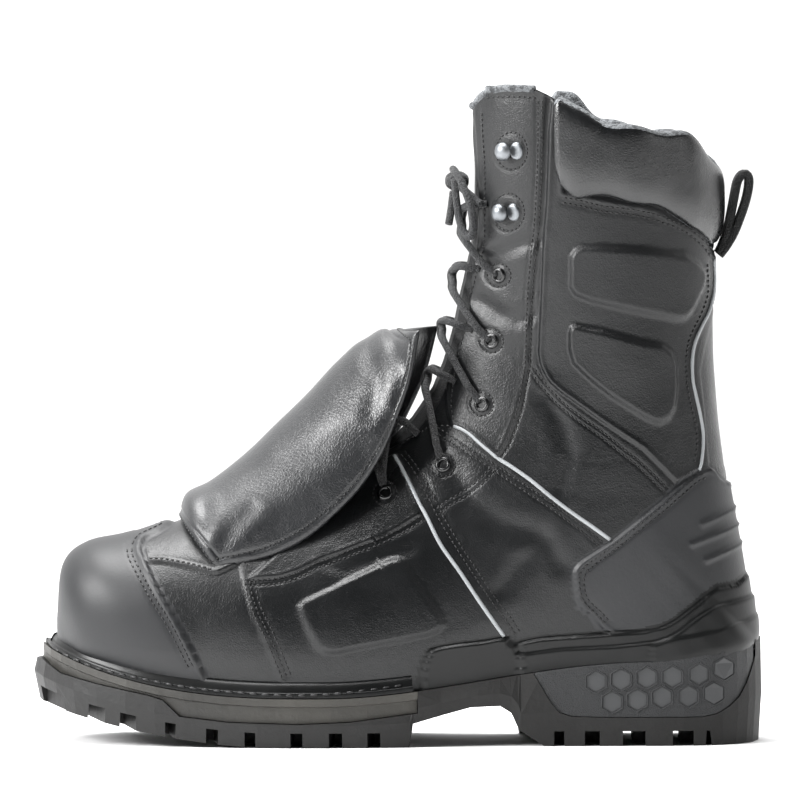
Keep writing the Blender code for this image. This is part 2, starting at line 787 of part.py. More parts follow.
def shares_between(start, end, extra=()):
    base = [0, 0.004, 0.015, 0.033, 0.058, 0.09, 0.13, 0.17, 0.21, 0.26, 0.31, 0.36, 0.41, 0.46, 0.505, 0.56, 0.60,
            0.64, 0.70, 0.75, 0.80, 0.85, 0.89, 0.92, 0.945, 0.965, 0.98, 0.990, 0.997, 1.0]
    inside = [b for b in base if start < b < end and min([abs(b - e) for e in extra] + [1]) > 0.004]
    return np.array(sorted([start] + inside + [e for e in extra if start < e < end] + [end]))


def fixed(mm, toe=0.0, waist=0.0):
    """Inset along the outline: a steady part, more at the toe, more at the waist. Shares of LENGTH."""
    def inset(share):
        front = np.clip(1 - share / 0.12, 0, 1) ** 1.5
        middle = smooth((share - 0.50) / 0.06) * smooth((0.72 - share) / 0.06)
        return LENGTH * (mm + toe * front + waist * middle)
    return inset


# Sole, from the floor up
MIDSOLE_END = 0.5266
INSERT_START = BASE_OF_INSERT[0][0]
INSERT_END = BASE_OF_INSERT[-1][0]


def edge_line(rows, lift):
    return tuple((share, (height + lift) / HEIGHT) for share, height in rows)


midsole_rows = tuple(row for row in BASE_OF_MIDSOLE if row[0] < MIDSOLE_END)
midsole_rows += ((MIDSOLE_END, BASE_OF_MIDSOLE[-1][1]),)
gap_along = CLEARANCE / LENGTH
cut_for_midsole = prism("cut_for_midsole", ((-0.03, (midsole_rows[0][1] - CLEARANCE) / HEIGHT),)
                        + edge_line(midsole_rows, -CLEARANCE)[:-1]
                        + ((MIDSOLE_END + gap_along, (midsole_rows[-1][1] - CLEARANCE) / HEIGHT),
                           (MIDSOLE_END + gap_along, 0.5), (-0.03, 0.5)))
under_midsole = prism("cut_under_midsole", ((-0.03, midsole_rows[0][1] / HEIGHT),) + edge_line(midsole_rows, 0.0)
                      + ((MIDSOLE_END, -0.1), (-0.03, -0.1)))
insert_back = BASE_OF_INSERT[-1][0]
cut_for_insert = prism("cut_for_insert", edge_line(BASE_OF_INSERT, -CLEARANCE)[:-1]
                       + ((insert_back + gap_along, (BASE_OF_INSERT[-1][1] - CLEARANCE) / HEIGHT),
                          (insert_back + gap_along, 0.5), (BASE_OF_INSERT[0][0], 0.5)))
under_insert = prism("cut_under_insert", edge_line(BASE_OF_INSERT, 0.0)
                     + ((insert_back, -0.1), (BASE_OF_INSERT[0][0], -0.1)))


def outsole_base(x):
    share = np.asarray(x) / LENGTH + 0.5
    arch = np.interp(share, [row[0] for row in ARCH], [row[1] for row in ARCH])
    return np.where((share > ARCH[0][0]) & (share < ARCH[-1][0]), arch, tread(x) + 0.0)


outsole = layer("outsole", shares_between(0, 1, tuple(row[0] for row in ARCH)), (
    (fixed(0.004, 0.004), outsole_base),
    (fixed(0.000, 0.000), lambda x: outsole_base(x) + 0.45 * (seat(x) - outsole_base(x))),
    (fixed(0.0015, 0.0085, 0.0085), lambda x: seat(x) + 0.001),
))
cut(outsole, over_seat)
cut(outsole, cut_for_midsole)
cut(outsole, cut_for_insert)
paint(outsole, (0.03, 0.026, 0.024), 0, 0.6)


def lofted(name, sections, target=part_set, smooth_shaded=True, ring_ends=True):
    """Closed body through equal sections of points."""
    m = len(sections[0])
    verts = [tuple(p) for section in sections for p in section]
    faces = []
    for i in range(len(sections) - 1):
        for k in range(m):
            a = i * m + k
            b = i * m + (k + 1) % m
            faces.append((a, b, b + m, a + m))
    if ring_ends:
        faces.append(tuple(range(m)))
        faces.append(tuple((len(sections) - 1) * m + k for k in range(m)))
    return keep(name, verts, faces, target, smooth_shaded)


def bar(verts, faces, centre, half, angle, low, high):
    """Adds an upright box to a cutter: half sizes along and across, turned by angle, between two heights."""
    ca = math.cos(math.radians(angle))
    sa = math.sin(math.radians(angle))
    base = len(verts)
    for z in (low, high):
        for dx, dy in ((-1, -1), (1, -1), (1, 1), (-1, 1)):
            px = dx * half[0]
            py = dy * half[1]
            h = z(centre[0] + px * ca - py * sa) if callable(z) else z
            verts.append((centre[0] + px * ca - py * sa, centre[1] + px * sa + py * ca, h))
    faces += [(base, base + 1, base + 2, base + 3), (base + 4, base + 5, base + 6, base + 7)]
    for k in range(4):
        j = (k + 1) % 4
        faces.append((base + k, base + j, base + 4 + j, base + 4 + k))


def root(x):
    return tread(x) + LUG_DEPTH


def groove_cutters(name, rows):
    """Grooves between the outer lugs, one from each side of the sole for a row of the table."""
    verts = []
    faces = []
    for share, width, slant in rows:
        x = along(share)
        outer, inner = outline([share], fixed(0.0))
        across = inner[0][1] - outer[0][1]
        row = min(LUG_ROW, across * 0.38)
        for side, point in ((-1, outer[0]), (1, inner[0])):
            y = point[1] - side * (row * 0.5 - 0.004)
            bar(verts, faces, (x + abs(y - point[1]) * math.tan(math.radians(slant)) * 0.2, y),
                (GROOVE * width / 2, row * 0.5 + 0.002), -side * slant, lambda x: tread(x) - 0.004, root)
    return keep(name, verts, faces, cutter_set, False)


grooves = [groove_cutters("cut_grooves_%d" % k, (FORE_GROOVES + HEEL_GROOVES)[k::3]) for k in range(3)]


def channel(name, start, end):
    """U-shaped channel that parts the outer lugs from those in the middle."""
    sections = []
    shares = np.linspace(start, end, 12)
    pieces = []
    for side in (0, 1):
        near = outline(shares, lambda share: share * 0 + LUG_ROW)[side]
        far = outline(shares, lambda share: share * 0 + LUG_ROW + CHANNEL)[side]
        sections = []
        for a, b in zip(near, far):
            sections.append(((a[0], a[1], tread(a[0]) - 0.004), (b[0], b[1], tread(b[0]) - 0.004),
                             (b[0], b[1], root(b[0])), (a[0], a[1], root(a[0]))))
        pieces.append(sections)
    return pieces


channel_parts = []
for start, end in ((0.105, 0.530), (0.655, 0.925)):
    for number, sections in enumerate(channel("channel", start, end)):
        channel_parts.append(lofted("cut_channel_%d_%d" % (start * 100, number), sections, cutter_set, False))
verts = []
faces = []
for share in (0.150, 0.215, 0.280, 0.345, 0.410, 0.470, 0.745, 0.815, 0.880):
    bar(verts, faces, (along(share), 0.0), (GROOVE * 0.45, BALL_WIDTH * 0.5 - LUG_ROW - CHANNEL * 0.5), 0,
        lambda x: tread(x) - 0.004, root)
middle_grooves = keep("cut_middle_grooves", verts, faces, cutter_set, False)
for piece in grooves:
    cut(outsole, piece)
for piece in channel_parts:
    cut(outsole, piece)
cut(outsole, middle_grooves)

insert = layer("heel_insert", shares_between(INSERT_START + 0.001, INSERT_END), (
    (fixed(0.0018, 0, 0.004), lambda x: tread(x) + 0.006),
    (fixed(0.0030, 0, 0.006), lambda x: seat(x) + 0.001),
))
cut(insert, over_seat)
cut(insert, under_insert)
verts = []
faces = []
for share, up in HEXAGONS:
    for side in (0, 1):
        base = len(verts)
        for depth in (-HEX_DEPTH, 0.004):
            for k in range(6):
                turn = math.radians(60 * k + 30)
                reach = math.cos(turn) * HEX_WIDTH / 2
                wall = outline([share + reach / LENGTH], fixed(0.0024))[side][0][1]
                verts.append((along(share) + reach, wall + (2 * side - 1) * depth,
                              up * HEIGHT + math.sin(turn) * HEX_WIDTH / 2))
        faces += [tuple(base + k for k in range(6)), tuple(base + 6 + k for k in range(6))]
        faces += [(base + k, base + (k + 1) % 6, base + 6 + (k + 1) % 6, base + 6 + k) for k in range(6)]
hexes = keep("cut_hexagons", verts, faces, cutter_set, False)
cut(insert, hexes)
paint(insert, (0.12, 0.12, 0.125), 0, 0.6)

midsole = layer("midsole", shares_between(0, MIDSOLE_END), (
    (fixed(0.0080, 0.0040), lambda x: tread(x) + 0.006),
    (fixed(0.0072, 0.0060), lambda x: seat(x) - BAND_HEIGHT - 0.0004),
    (fixed(0.0030, 0.0095), lambda x: seat(x) - BAND_HEIGHT),
    (fixed(0.0030, 0.0095), lambda x: seat(x) + 0.001),
))
cut(midsole, over_seat)
cut(midsole, under_midsole)
paint(midsole, (0.09, 0.075, 0.068), 0, 0.65)

# The welt: a stitched flange and a rolled rim against the upper
WELT_PROFILE = (
    # from the outer edge to the feather line, share of WELT_HEIGHT
    (0.00, 0.00),
    (0.00, 0.30),
    (0.22, 0.24),
    (0.32, 0.52),
    (0.52, 0.86),
    (0.76, 1.00),
    (1.40, 1.00),
    (1.40, 0.00),
)


def welt_sections():
    shares = shares_between(0, MIDSOLE_END - 0.0005, (0.002, 0.008, 0.024, 0.045))
    edge = fixed(0.0046, 0.0120)
    rings = []
    for across, up in WELT_PROFILE:
        def inset(share):
            return edge(share) + across * (feather_inset(share) - edge(share))
        outer, inner = outline(shares, inset)
        path = list(outer[::-1]) + list(inner[1:])
        rings.append([(p[0], p[1], seat(p[0]) + (up or -0.15) * WELT_HEIGHT) for p in path])
    return list(zip(*rings))


welt = lofted("welt", welt_sections())
cut(welt, under_seat)
cut(welt, skin)
paint(welt, (0.012, 0.012, 0.013), 0, 0.2)

# The insole fills the floor of the upper, shaped by the inside of its wall
insole = layer("insole", shares_between(0.044, 0.972), (
    (lambda share: feather_inset(share) + 0.0012, lambda x: seat(x) - 0.001),
    (lambda share: feather_inset(share) + 0.0012,
     lambda x: seat(x) + INSOLE_THICKNESS + 0.002 * smooth((x - along(0.5)) / 0.06)),
))
lining = form("form_lining", -WALL - CLEARANCE, 0.004)
cut(insole, lining, "INTERSECT")
cut(insole, under_seat)
paint(insole, (0.05, 0.05, 0.052), 0, 0.9)

# A cutter that takes away the wall with its clearance on both sides
wall_body = form("form_wall", CLEARANCE, 0.002)
cut(wall_body, lining)
wall_top = prism("cut_wall_top", tuple((a, u + CLEARANCE / HEIGHT) for a, u in UPPER_TOP)
                 + ((1.060, 1.300), (0.560, 1.300)))
cut(wall_body, wall_top)


def sheet_body(name, outer, inner):
    """Closed body between two grids of points."""
    outer = np.asarray(outer)
    inner = np.asarray(inner)
    rows, columns = outer.shape[:2]
    verts = [tuple(p) for p in outer.reshape(-1, 3)] + [tuple(p) for p in inner.reshape(-1, 3)]
    n = rows * columns
    faces = []
    for i in range(rows - 1):
        for j in range(columns - 1):
            a = i * columns + j
            faces.append((a, a + 1, a + columns + 1, a + columns))
            faces.append((n + a, n + a + columns, n + a + columns + 1, n + a + 1))
    for i in range(rows - 1):
        for j in (0, columns - 1):
            a = i * columns + j
            faces.append((a, a + columns, n + a + columns, n + a))
    for j in range(columns - 1):
        for i in (0, rows - 1):
            a = i * columns + j
            faces.append((a, a + 1, n + a + 1, n + a))
    return keep(name, verts, faces)


def section_point(s, y):
    """Point of section s at sideways distance y from its ridge."""
    side = -1 if y < 0 else 1
    line = half_section(s, side, 61)
    ridge = line[-1, 1]
    first = int(np.argmax(side * line[:, 1]))
    run = line[first:][::-1]
    return np.array([np.interp(side * (ridge + y), side * run[:, 1], run[:, k]) for k in range(3)])


def over_ridge(s, y, offset):
    """The same point moved out from the upper by offset."""
    low = max(s - 0.1, 0.0)
    high = min(s + 0.1, float(LAST))
    along_ridge = section_point(high, y) - section_point(low, y)
    sideways = section_point(s, y + 0.001) - section_point(s, y - 0.001)
    out = np.cross(along_ridge, sideways)
    out /= np.linalg.norm(out)
    if out[0] > 0:
        out = -out
    return section_point(s, y) + out * offset


# The tongue: under the throat's edges, its middle swelling into the gap, up to the collar
tongue_outer = []
tongue_inner = []
for s in np.linspace(7.7, 22.35, 17):
    reach = TONGUE_HALF * (0.74 + 0.26 * smooth((s - 7.7) / 3.0))
    if s > 21.5:
        reach *= math.sqrt(max(0.05, 1 - ((s - 21.5) / 1.1) ** 2))
    half = np.interp(s, *zip(*THROAT_SECTIONS)) * THROAT_HALF - 0.002
    outer_row = []
    inner_row = []
    for y in np.linspace(-1, 1, 11) * reach:
        rise = smooth(1.4 * (1 - abs(y) / max(half, 0.004))) * smooth((s - 8.3) / 0.8)
        depth = -(WALL + 5 * CLEARANCE) + (WALL + 4 * CLEARANCE) * rise
        thick = TONGUE_THICKNESS * (0.55 + 0.45 * smooth(1 - abs(y) / reach + 0.15))
        outer_row.append(over_ridge(s, y, depth))
        inner_row.append(over_ridge(s, y, depth - thick))
    tongue_outer.append(outer_row)
    tongue_inner.append(inner_row)
tongue = sheet_body("tongue", tongue_outer, tongue_inner)
paint(tongue, DARK, 0, 0.7)


def side_point(x, z, side):
    """Point of the upper seen at x, z from the side, with its outward direction."""
    lo = 0.0
    hi = float(LAST)
    for _ in range(40):
        s = (lo + hi) / 2
        bx, bz, tx, tz = section_ends(s)
        turn = (tx - bx) * (z - bz) - (tz - bz) * (x - bx)
        if turn < 0:
            lo = s
        else:
            hi = s
    line = half_section(s, side, 61)
    bx, bz, tx, tz = section_ends(s)
    run = np.array([tx - bx, tz - bz])
    size = run @ run
    v = ((x - bx) * run[0] + (z - bz) * run[1]) / size
    line_v = ((line[:, 0] - bx) * run[0] + (line[:, 2] - bz) * run[1]) / size
    return s, v, np.interp(v, line_v, line[:, 1])


def outward(x, z, side):
    """Place on the upper seen at x, z, and the direction that leads away from it."""
    step = 0.0015
    y = side_point(x, z, side)[2]
    dx = side_point(x + step, z, side)[2] - side_point(x - step, z, side)[2]
    dz = side_point(x, z + step, side)[2] - side_point(x, z - step, side)[2]
    normal = np.array([-dx / (2 * step), 1.0, -dz / (2 * step)]) * side
    return np.array([x, y, z]), normal / np.linalg.norm(normal)


# The met guard: a padded shield that stands on the vamp and leans free of the throat
def guard_grid(rows=16, half=8):
    number = len(GUARD_SECTIONS) - 1
    grid = []
    for s in np.linspace(0, number, rows):
        cx, cz, ex, ez, wide, shift, full = [spline([row[k] for row in GUARD_SECTIONS], s) for k in range(7)]
        crest = np.array([along(cx), 0.0, cz * HEIGHT])
        middle = 0.030 * (1 - s / number) * BALL_WIDTH
        crest[1] = middle
        row = []
        for side, extra in ((-1, 0.0), (1, shift)):
            edge = np.array([along(ex + extra), side * wide * BALL_WIDTH + middle * 0.6, ez * HEIGHT])
            angles = np.linspace(0, math.pi / 2, half)
            line = []
            for angle in angles:
                h = math.sin(angle) ** (2 / full)
                w = max(math.cos(angle), 0) ** (2 / full)
                line.append(np.array([edge[0] + (crest[0] - edge[0]) * h, crest[1] + (edge[1] - crest[1]) * w,
                                      edge[2] + (crest[2] - edge[2]) * h]))
            row.append(line)
        grid.append(row[0] + row[1][::-1][1:])
    grid = np.array(grid)
    down = np.gradient(grid, axis=0)
    across = np.gradient(grid, axis=1)
    normal = np.cross(down, across)
    normal /= np.linalg.norm(normal, axis=2)[..., None]
    return grid, normal


guard_outer, guard_normal = guard_grid()
rows, columns = guard_outer.shape[:2]
bump = np.sin(np.linspace(0.0, math.pi, rows))[:, None] ** 0.6 * np.sin(np.linspace(0, math.pi, columns))[None] ** 0.6
guard_inner = guard_outer - guard_normal * (GUARD_EDGE + GUARD_PAD * bump)[..., None]
guard = sheet_body("met_guard", guard_outer, guard_inner)
cut(guard, skin)
paint(guard, DARK, 0, 0.3)

# The collar: a padded roll over the top edge, outside and inside the wall
COLLAR_PROFILE = (
    # share of the way up the padding, side -1 inside and +1 outside, share of the padding
    (0.00, 1, 0.10),
    (0.10, 1, 0.62),
    (0.35, 1, 0.95),
    (0.70, 1, 1.00),
    (1.00, 1, 0.80),
    (1.00, 0, 1.00),
    (1.00, -1, 0.80),
    (0.70, -1, 1.00),
    (0.30, -1, 0.95),
    (0.00, -1, 0.55),
)


def column_point(s, share, side):
    line = half_section(s, side, 41)
    place = share * 40
    i = min(int(place), 39)
    return line[i] + (line[i + 1] - line[i]) * (place - i)


def find_level(share, side, edge):
    """Section number where this column meets an edge of the side view."""
    lo = 18.0
    hi = float(LAST)
    for _ in range(30):
        s = (lo + hi) / 2
        point = column_point(s, share, side)
        if point[2] < table(edge, point[0]) * HEIGHT:
            lo = s
        else:
            hi = s
    return (lo + hi) / 2


def collar_section(share, side):
    low = find_level(share, side, COLLAR_LOW)
    high = find_level(share, side, UPPER_TOP)
    section = []
    for up, face, fill in COLLAR_PROFILE:
        s = low + (high - low) * up
        point = column_point(s, share, side)
        ahead = column_point(s, min(share + 0.03, 1), side)
        behind = column_point(s, share - 0.03, side) if share > 0.03 else ahead * np.array([1, -1, 1])
        rise = column_point(min(s + 0.2, LAST), share, side) - column_point(s - 0.2, share, side)
        normal = np.cross(ahead - behind, rise) * -side
        normal /= np.linalg.norm(normal)
        if normal @ (point - np.array([along(0.77), 0, point[2]])) < 0:
            normal = -normal
        if share == 0:
            normal = np.array([1.0, 0.0, 0.1])
        if face > 0:
            offset = CLEARANCE + COLLAR_OUT * fill
        elif face < 0:
            offset = -WALL - CLEARANCE - COLLAR_IN * fill
        else:
            offset = (COLLAR_OUT - COLLAR_IN) * 0.5 - WALL * 0.5
        lift = COLLAR_TOP * (1.0 if face == 0 else 0.45) if up == 1.0 else 0.0
        section.append(point + normal * offset + np.array([0, 0, lift]))
    return section


collar_shares = (0.575, 0.5, 0.4, 0.3, 0.2, 0.1)
stations = [collar_section(share, -1) for share in collar_shares]
stations.append(collar_section(0.0, -1))
stations += [collar_section(share, 1) for share in collar_shares[::-1]]
collar = lofted("collar", stations)
cut(collar, wall_body)
paint(collar, (0.015, 0.015, 0.016), 0, 0.3)

# Pull loop, a folded length of webbing sewn to the backstay
path = np.array([(along(a), u * HEIGHT) for a, u in LOOP_PATH])
run = np.gradient(path, axis=0)
run /= np.linalg.norm(run, axis=1)[:, None]
across_run = np.stack([-run[:, 1], run[:, 0]], 1) * STRAP_THICKNESS / 2
half_strap = STRAP_WIDTH / 2
stations = []
for point, off in zip(path, across_run):
    near = point + off
    far = point - off
    stations.append(((near[0], -half_strap, near[1]), (near[0], half_strap, near[1]),
                     (far[0], half_strap, far[1]), (far[0], -half_strap, far[1])))
loop = lofted("pull_loop", stations, smooth_shaded=False)
paint(loop, DARK, 0, 0.85)


def turned(name, centre, axis, profile, sides, stretch=1.0):
    """Body turned round an axis from rows of radius and height. A last row with radius 0 closes it."""
    axis = axis / np.linalg.norm(axis)
    first = np.cross(axis, np.array([0.0, 0.0, 1.0]))
    first /= np.linalg.norm(first)
    second = np.cross(axis, first)
    verts = []
    faces = []
    m = len(profile)
    for k in range(sides):
        turn = 2 * math.pi * k / sides
        way = first * math.cos(turn) + second * math.sin(turn) * stretch
        for radius, height in profile:
            verts.append(centre + way * radius + axis * height)
    closed = profile[0][0] > 0 and profile[-1][0] > 0
    for k in range(sides):
        j = (k + 1) % sides
        for i in range(m if closed else m - 1):
            n = (i + 1) % m
            faces.append((k * m + i, k * m + n, j * m + n, j * m + i))
    return keep(name, verts, faces)


EYELET_PROFILE = (
    (EYELET_HOLE, 0.0),
    (EYELET_HOLE, EYELET_HEIGHT),
    (EYELET_RADIUS * 0.8, EYELET_HEIGHT),
    (EYELET_RADIUS, 0.0),
)
HOOK_PROFILE = (
    # radius, height
    (0.0, 0.0),
    (0.0036, 0.0),
    (0.0036, 0.0009),
    (0.0016, 0.0013),
    (0.0014, 0.0025),
    (0.0029, 0.0033),
    (0.0031, 0.0047),
    (0.0018, 0.0059),
    (0.0, 0.0062),
)


def surface(thing):
    """Search tree of a piece as its modifiers leave it."""
    bpy.context.view_layer.update()
    mesh = thing.evaluated_get(bpy.context.evaluated_depsgraph_get()).to_mesh()
    return BVHTree.FromPolygons([v.co for v in mesh.vertices], [tuple(p.vertices) for p in mesh.polygons])


def seat_height(tree, place, normal, radius):
    """Height of the piece above a place, at its highest under a ring of this radius."""
    first = np.cross(normal, np.array([0.0, 0.0, 1.0]))
    first /= np.linalg.norm(first)
    second = np.cross(normal, first)
    highest = -1.0
    for k in range(16):
        turn = 2 * math.pi * k / 16
        start = place + (first * math.cos(turn) + second * math.sin(turn)) * radius + normal * 0.01
        hit = tree.ray_cast(Vector(start), Vector(-normal), 0.02)
        if hit[0] is not None:
            highest = max(highest, 0.01 - hit[3])
    return highest


anchors = {}
for side, word in ((-1, "outer"), (1, "inner")):
    eyestay_tree = surface(part_set.objects["eyestay_" + word])
    for number, (share, up) in enumerate(EYELETS + HOOKS):
        place, normal = outward(along(share), up * HEIGHT, side)
        seat_on = place + normal * (seat_height(eyestay_tree, place, normal, EYELET_RADIUS) + CLEARANCE * 0.6)
        if number < len(EYELETS):
            ring = turned("eyelet_%s_%d" % (word, number + 1), seat_on, normal, EYELET_PROFILE, 12)
            paint(ring, (0.01, 0.01, 0.01), 0, 0.3)
        else:
            hook = turned("hook_%s_%d" % (word, number - len(EYELETS) + 1), seat_on, normal, HOOK_PROFILE, 8, 1.1)
            paint(hook, (0.5, 0.5, 0.52), 1.0, 0.3)
        s, v, y = side_point(along(share), up * HEIGHT, side)
        anchors[side, number] = (s, y)


def round_path(points, step):
    """Points along a smooth curve through these, about step apart."""
    points = np.asarray(points)
    number = len(points) - 1
    fine = np.linspace(0, number, number * 12 + 1)
    dense = np.stack([spline(points[:, k], fine) for k in range(3)], 1)
    way = np.concatenate([[0], np.cumsum(np.linalg.norm(np.diff(dense, axis=0), axis=1))])
    even = np.linspace(0, way[-1], max(3, int(round(way[-1] / step)) + 1))
    return np.stack([np.interp(even, way, dense[:, k]) for k in range(3)], 1)


def cord(name, points, radius=LACE_RADIUS, step=0.0080, target=part_set):
    """Round cord along a smooth path, or straight from point to point when the step is 0."""
    path = round_path(points, step) if step else points
    line = bpy.data.curves.new(name, "CURVE")
    line.dimensions = "3D"
    run = line.splines.new("POLY")
    run.points.add(len(path) - 1)
    for k, point in enumerate(path):
        run.points[k].co = (point[0], point[1], point[2], 1.0)
    line.bevel_depth = radius
    line.bevel_resolution = 2
    line.use_fill_caps = True
    thing = bpy.data.objects.new(name + "_path", line)
    bpy.context.scene.collection.objects.link(thing)
    bpy.context.view_layer.update()
    mesh = bpy.data.meshes.new_from_object(thing.evaluated_get(bpy.context.evaluated_depsgraph_get()))
    bpy.data.objects.remove(thing, do_unlink=True)
    bm = bmesh.new()
    bm.from_mesh(mesh)
    bmesh.ops.remove_doubles(bm, verts=bm.verts, dist=0.00002)
    bmesh.ops.recalc_face_normals(bm, faces=bm.faces)
    bm.to_mesh(mesh)
    bm.free()
    mesh.name = name
    for polygon in mesh.polygons:
        polygon.use_smooth = True
    made = bpy.data.objects.new(name, mesh)
    target.objects.link(made)
    if target is cutter_set:
        made.hide_render = True
        made.display_type = "WIRE"
    return paint(made, (0.015, 0.015, 0.016), 0, 0.8)


def lace_offset(s, y):
    """Middle of the lace over the upper: above the eyestay at the sides, lower over the tongue."""
    half = np.interp(s, *zip(*THROAT_SECTIONS)) * THROAT_HALF
    edge = smooth((abs(y) - (half - 0.012)) / 0.007)
    low = LACE_RADIUS + 3 * CLEARANCE
    return low + (OVERLAY + LACE_RADIUS + 4 * CLEARANCE - low) * edge


def lace_anchor(side, number):
    """Where the lace leaves an eyelet, on the side of the throat."""
    s, y = anchors[side, number]
    return s, y - side * (EYELET_RADIUS + LACE_RADIUS + 2 * CLEARANCE)


CROSSING = (0.0, 0.10, 0.22, 0.36, 0.5, 0.64, 0.78, 0.90, 1.0)


def crossing(start, end, shares=CROSSING):
    """Path of the lace over the tongue, from one place to another."""
    points = []
    for t in shares:
        s = start[0] + (end[0] - start[0]) * t
        y = start[1] + (end[1] - start[1]) * t
        points.append(over_ridge(s, y, lace_offset(s, y)))
    return points


# The knot: section number and distance from the upper to its middle, and its half sizes
KNOT = (20.25, 0.0053)
KNOT_SIZE = (0.0052, 0.0062, 0.0056)
strands = [(lace_anchor(-1, 0), lace_anchor(1, 0))]
for number in range(len(EYELETS)):
    for side in (-1, 1):
        strands.append((lace_anchor(side, number), lace_anchor(-side, number + 1)))
for side in (-1, 1):
    strands.append((lace_anchor(side, len(EYELETS)), (KNOT[0] - 0.15, side * (KNOT_SIZE[1] + 2 * CLEARANCE))))
laces = None
for number, (start, end) in enumerate(strands):
    short = abs(end[1] - start[1]) < 2 * THROAT_HALF
    points = crossing(start, end, CROSSING[::2] if short else CROSSING)
    if laces is None:
        laces = cord("laces", points, step=0)
    else:
        cut(laces, cord("cut_lace_%d" % number, points, step=0, target=cutter_set), "UNION")

# Knot, two loops and two ends of the bow, in front of the lower hooks
knot_place = over_ridge(KNOT[0], 0.0, KNOT[1])
ball = []
for k in range(7):
    angle = math.pi * k / 6
    ball.append((math.sin(angle), -math.cos(angle)))
knot = turned("lace_knot", np.zeros(3), np.array([0.0, 1.0, 0.0]), ball, 10)
for vertex in knot.data.vertices:
    vertex.co = [float(c * size + place) for c, size, place in zip(vertex.co, KNOT_SIZE, knot_place)]
paint(knot, (0.015, 0.015, 0.016), 0, 0.8)
BOW = (
    # piece, then rows of: sections from the knot, sideways, distance from the upper
    ("lace_loop", ((0.06, 0.0068, 0.0070), (-0.50, 0.0125, 0.0078), (-1.10, 0.0150, 0.0080),
                   (-1.50, 0.0180, 0.0082), (-1.55, 0.0215, 0.0082), (-1.10, 0.0240, 0.0084),
                   (-0.40, 0.0235, 0.0086), (0.15, 0.0200, 0.0086), (0.40, 0.0150, 0.0084),
                   (0.42, 0.0090, 0.0078))),
    ("lace_end", ((-0.38, 0.0036, 0.0070), (-0.85, 0.0052, 0.0078), (-1.20, 0.0062, 0.0084),
                  (-1.60, 0.0072, 0.0092))),
)
for side, word in ((-1, "outer"), (1, "inner")):
    for name, rows in BOW:
        cord(name + "_" + word, [over_ridge(KNOT[0] + ds, side * y, off) for ds, y, off in rows], step=0.0045)

# Everything moves sideways together, so that the boot stands centred on the origin
for thing in list(part_set.objects) + list(cutter_set.objects):
    thing.data.transform(Matrix.Translation((0.0, CENTRE_SHIFT, 0.0)))
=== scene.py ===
# %% [markdown]
# # A work boot with a metatarsal guard
#
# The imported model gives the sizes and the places. This script gives the looks: leather panels with
# rolled edges, stitch rows, embossed pads, reflective piping, laces and a rubber sole.
# The frame comes first, because every piece sits on it.

# %% The frame
import math
import bmesh
import bpy
import numpy as np
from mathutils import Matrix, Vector
from mathutils.bvhtree import BVHTree


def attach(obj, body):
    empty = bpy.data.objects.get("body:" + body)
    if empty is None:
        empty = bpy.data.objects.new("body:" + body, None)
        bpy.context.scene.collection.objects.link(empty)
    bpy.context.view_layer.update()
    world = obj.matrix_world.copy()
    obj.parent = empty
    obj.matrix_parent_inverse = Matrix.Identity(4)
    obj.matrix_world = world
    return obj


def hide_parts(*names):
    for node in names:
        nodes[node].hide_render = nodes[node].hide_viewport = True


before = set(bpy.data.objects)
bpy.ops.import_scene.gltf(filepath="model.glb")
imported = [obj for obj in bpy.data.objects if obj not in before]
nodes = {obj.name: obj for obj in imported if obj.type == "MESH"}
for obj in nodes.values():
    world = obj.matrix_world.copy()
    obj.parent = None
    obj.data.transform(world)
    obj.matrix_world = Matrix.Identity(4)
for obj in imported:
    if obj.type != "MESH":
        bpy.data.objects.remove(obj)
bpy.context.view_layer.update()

# %% [markdown]
# The boot's own sizes, in metres. They are the ones that the solids were made from, so that a panel
# drawn here lands on the solid below it. Tables that hold shares are shares of these lengths.

# %% Sizes
LENGTH = 0.320            # outsole, toe to heel
HEIGHT = 0.287            # floor to the top of the eyestay
BALL_WIDTH = 0.114        # outsole across the ball
WALL = 0.0020             # leather of the upper
CLEARANCE = 0.0003        # gap between pieces that touch
OVERLAY = 0.0018          # leather laid over the upper: cap, counter, eyestay
SEAT_LOW = 0.0216         # floor to the feather line under the ball
TOE_SPRING = 0.0230       # rise of the feather line at the toe
HEEL_RISE = 0.0153        # rise of the feather line under the heel
HEEL_SCOOP = 0.0091       # extra rise at the very back
WELT_HEIGHT = 0.0068
HEX_WIDTH = 0.0088
THROAT_HALF = 0.0170      # half of the gap between the eyestays
COLLAR_OUT = 0.0050       # padding outside the wall
COLLAR_IN = 0.0052        # padding inside the wall
COLLAR_TOP = 0.0034       # padding above the wall
GUARD_EDGE = 0.0030
GUARD_PAD = 0.0045        # what the guard's middle adds to its edge
EYELET_RADIUS = 0.0037
LACE_RADIUS = 0.00165
STRAP_WIDTH = 0.0170
CENTRE_SHIFT = 0.00149      # brings the middle of the sole's width to y = 0
MIDSOLE_END = 0.5266
MM = 0.001


def side_view(rows):
    """Points of a side view table, from millimetres to metres."""
    return np.array(rows, float) * MM


# %% [markdown]
# A leather upper is pulled over a last, so its surface is one smooth form. The form is given here by
# sections, from the sole line at the toe, over the instep, to rings round the leg. Each row has the two
# ends of a section seen from the side, and its half widths.

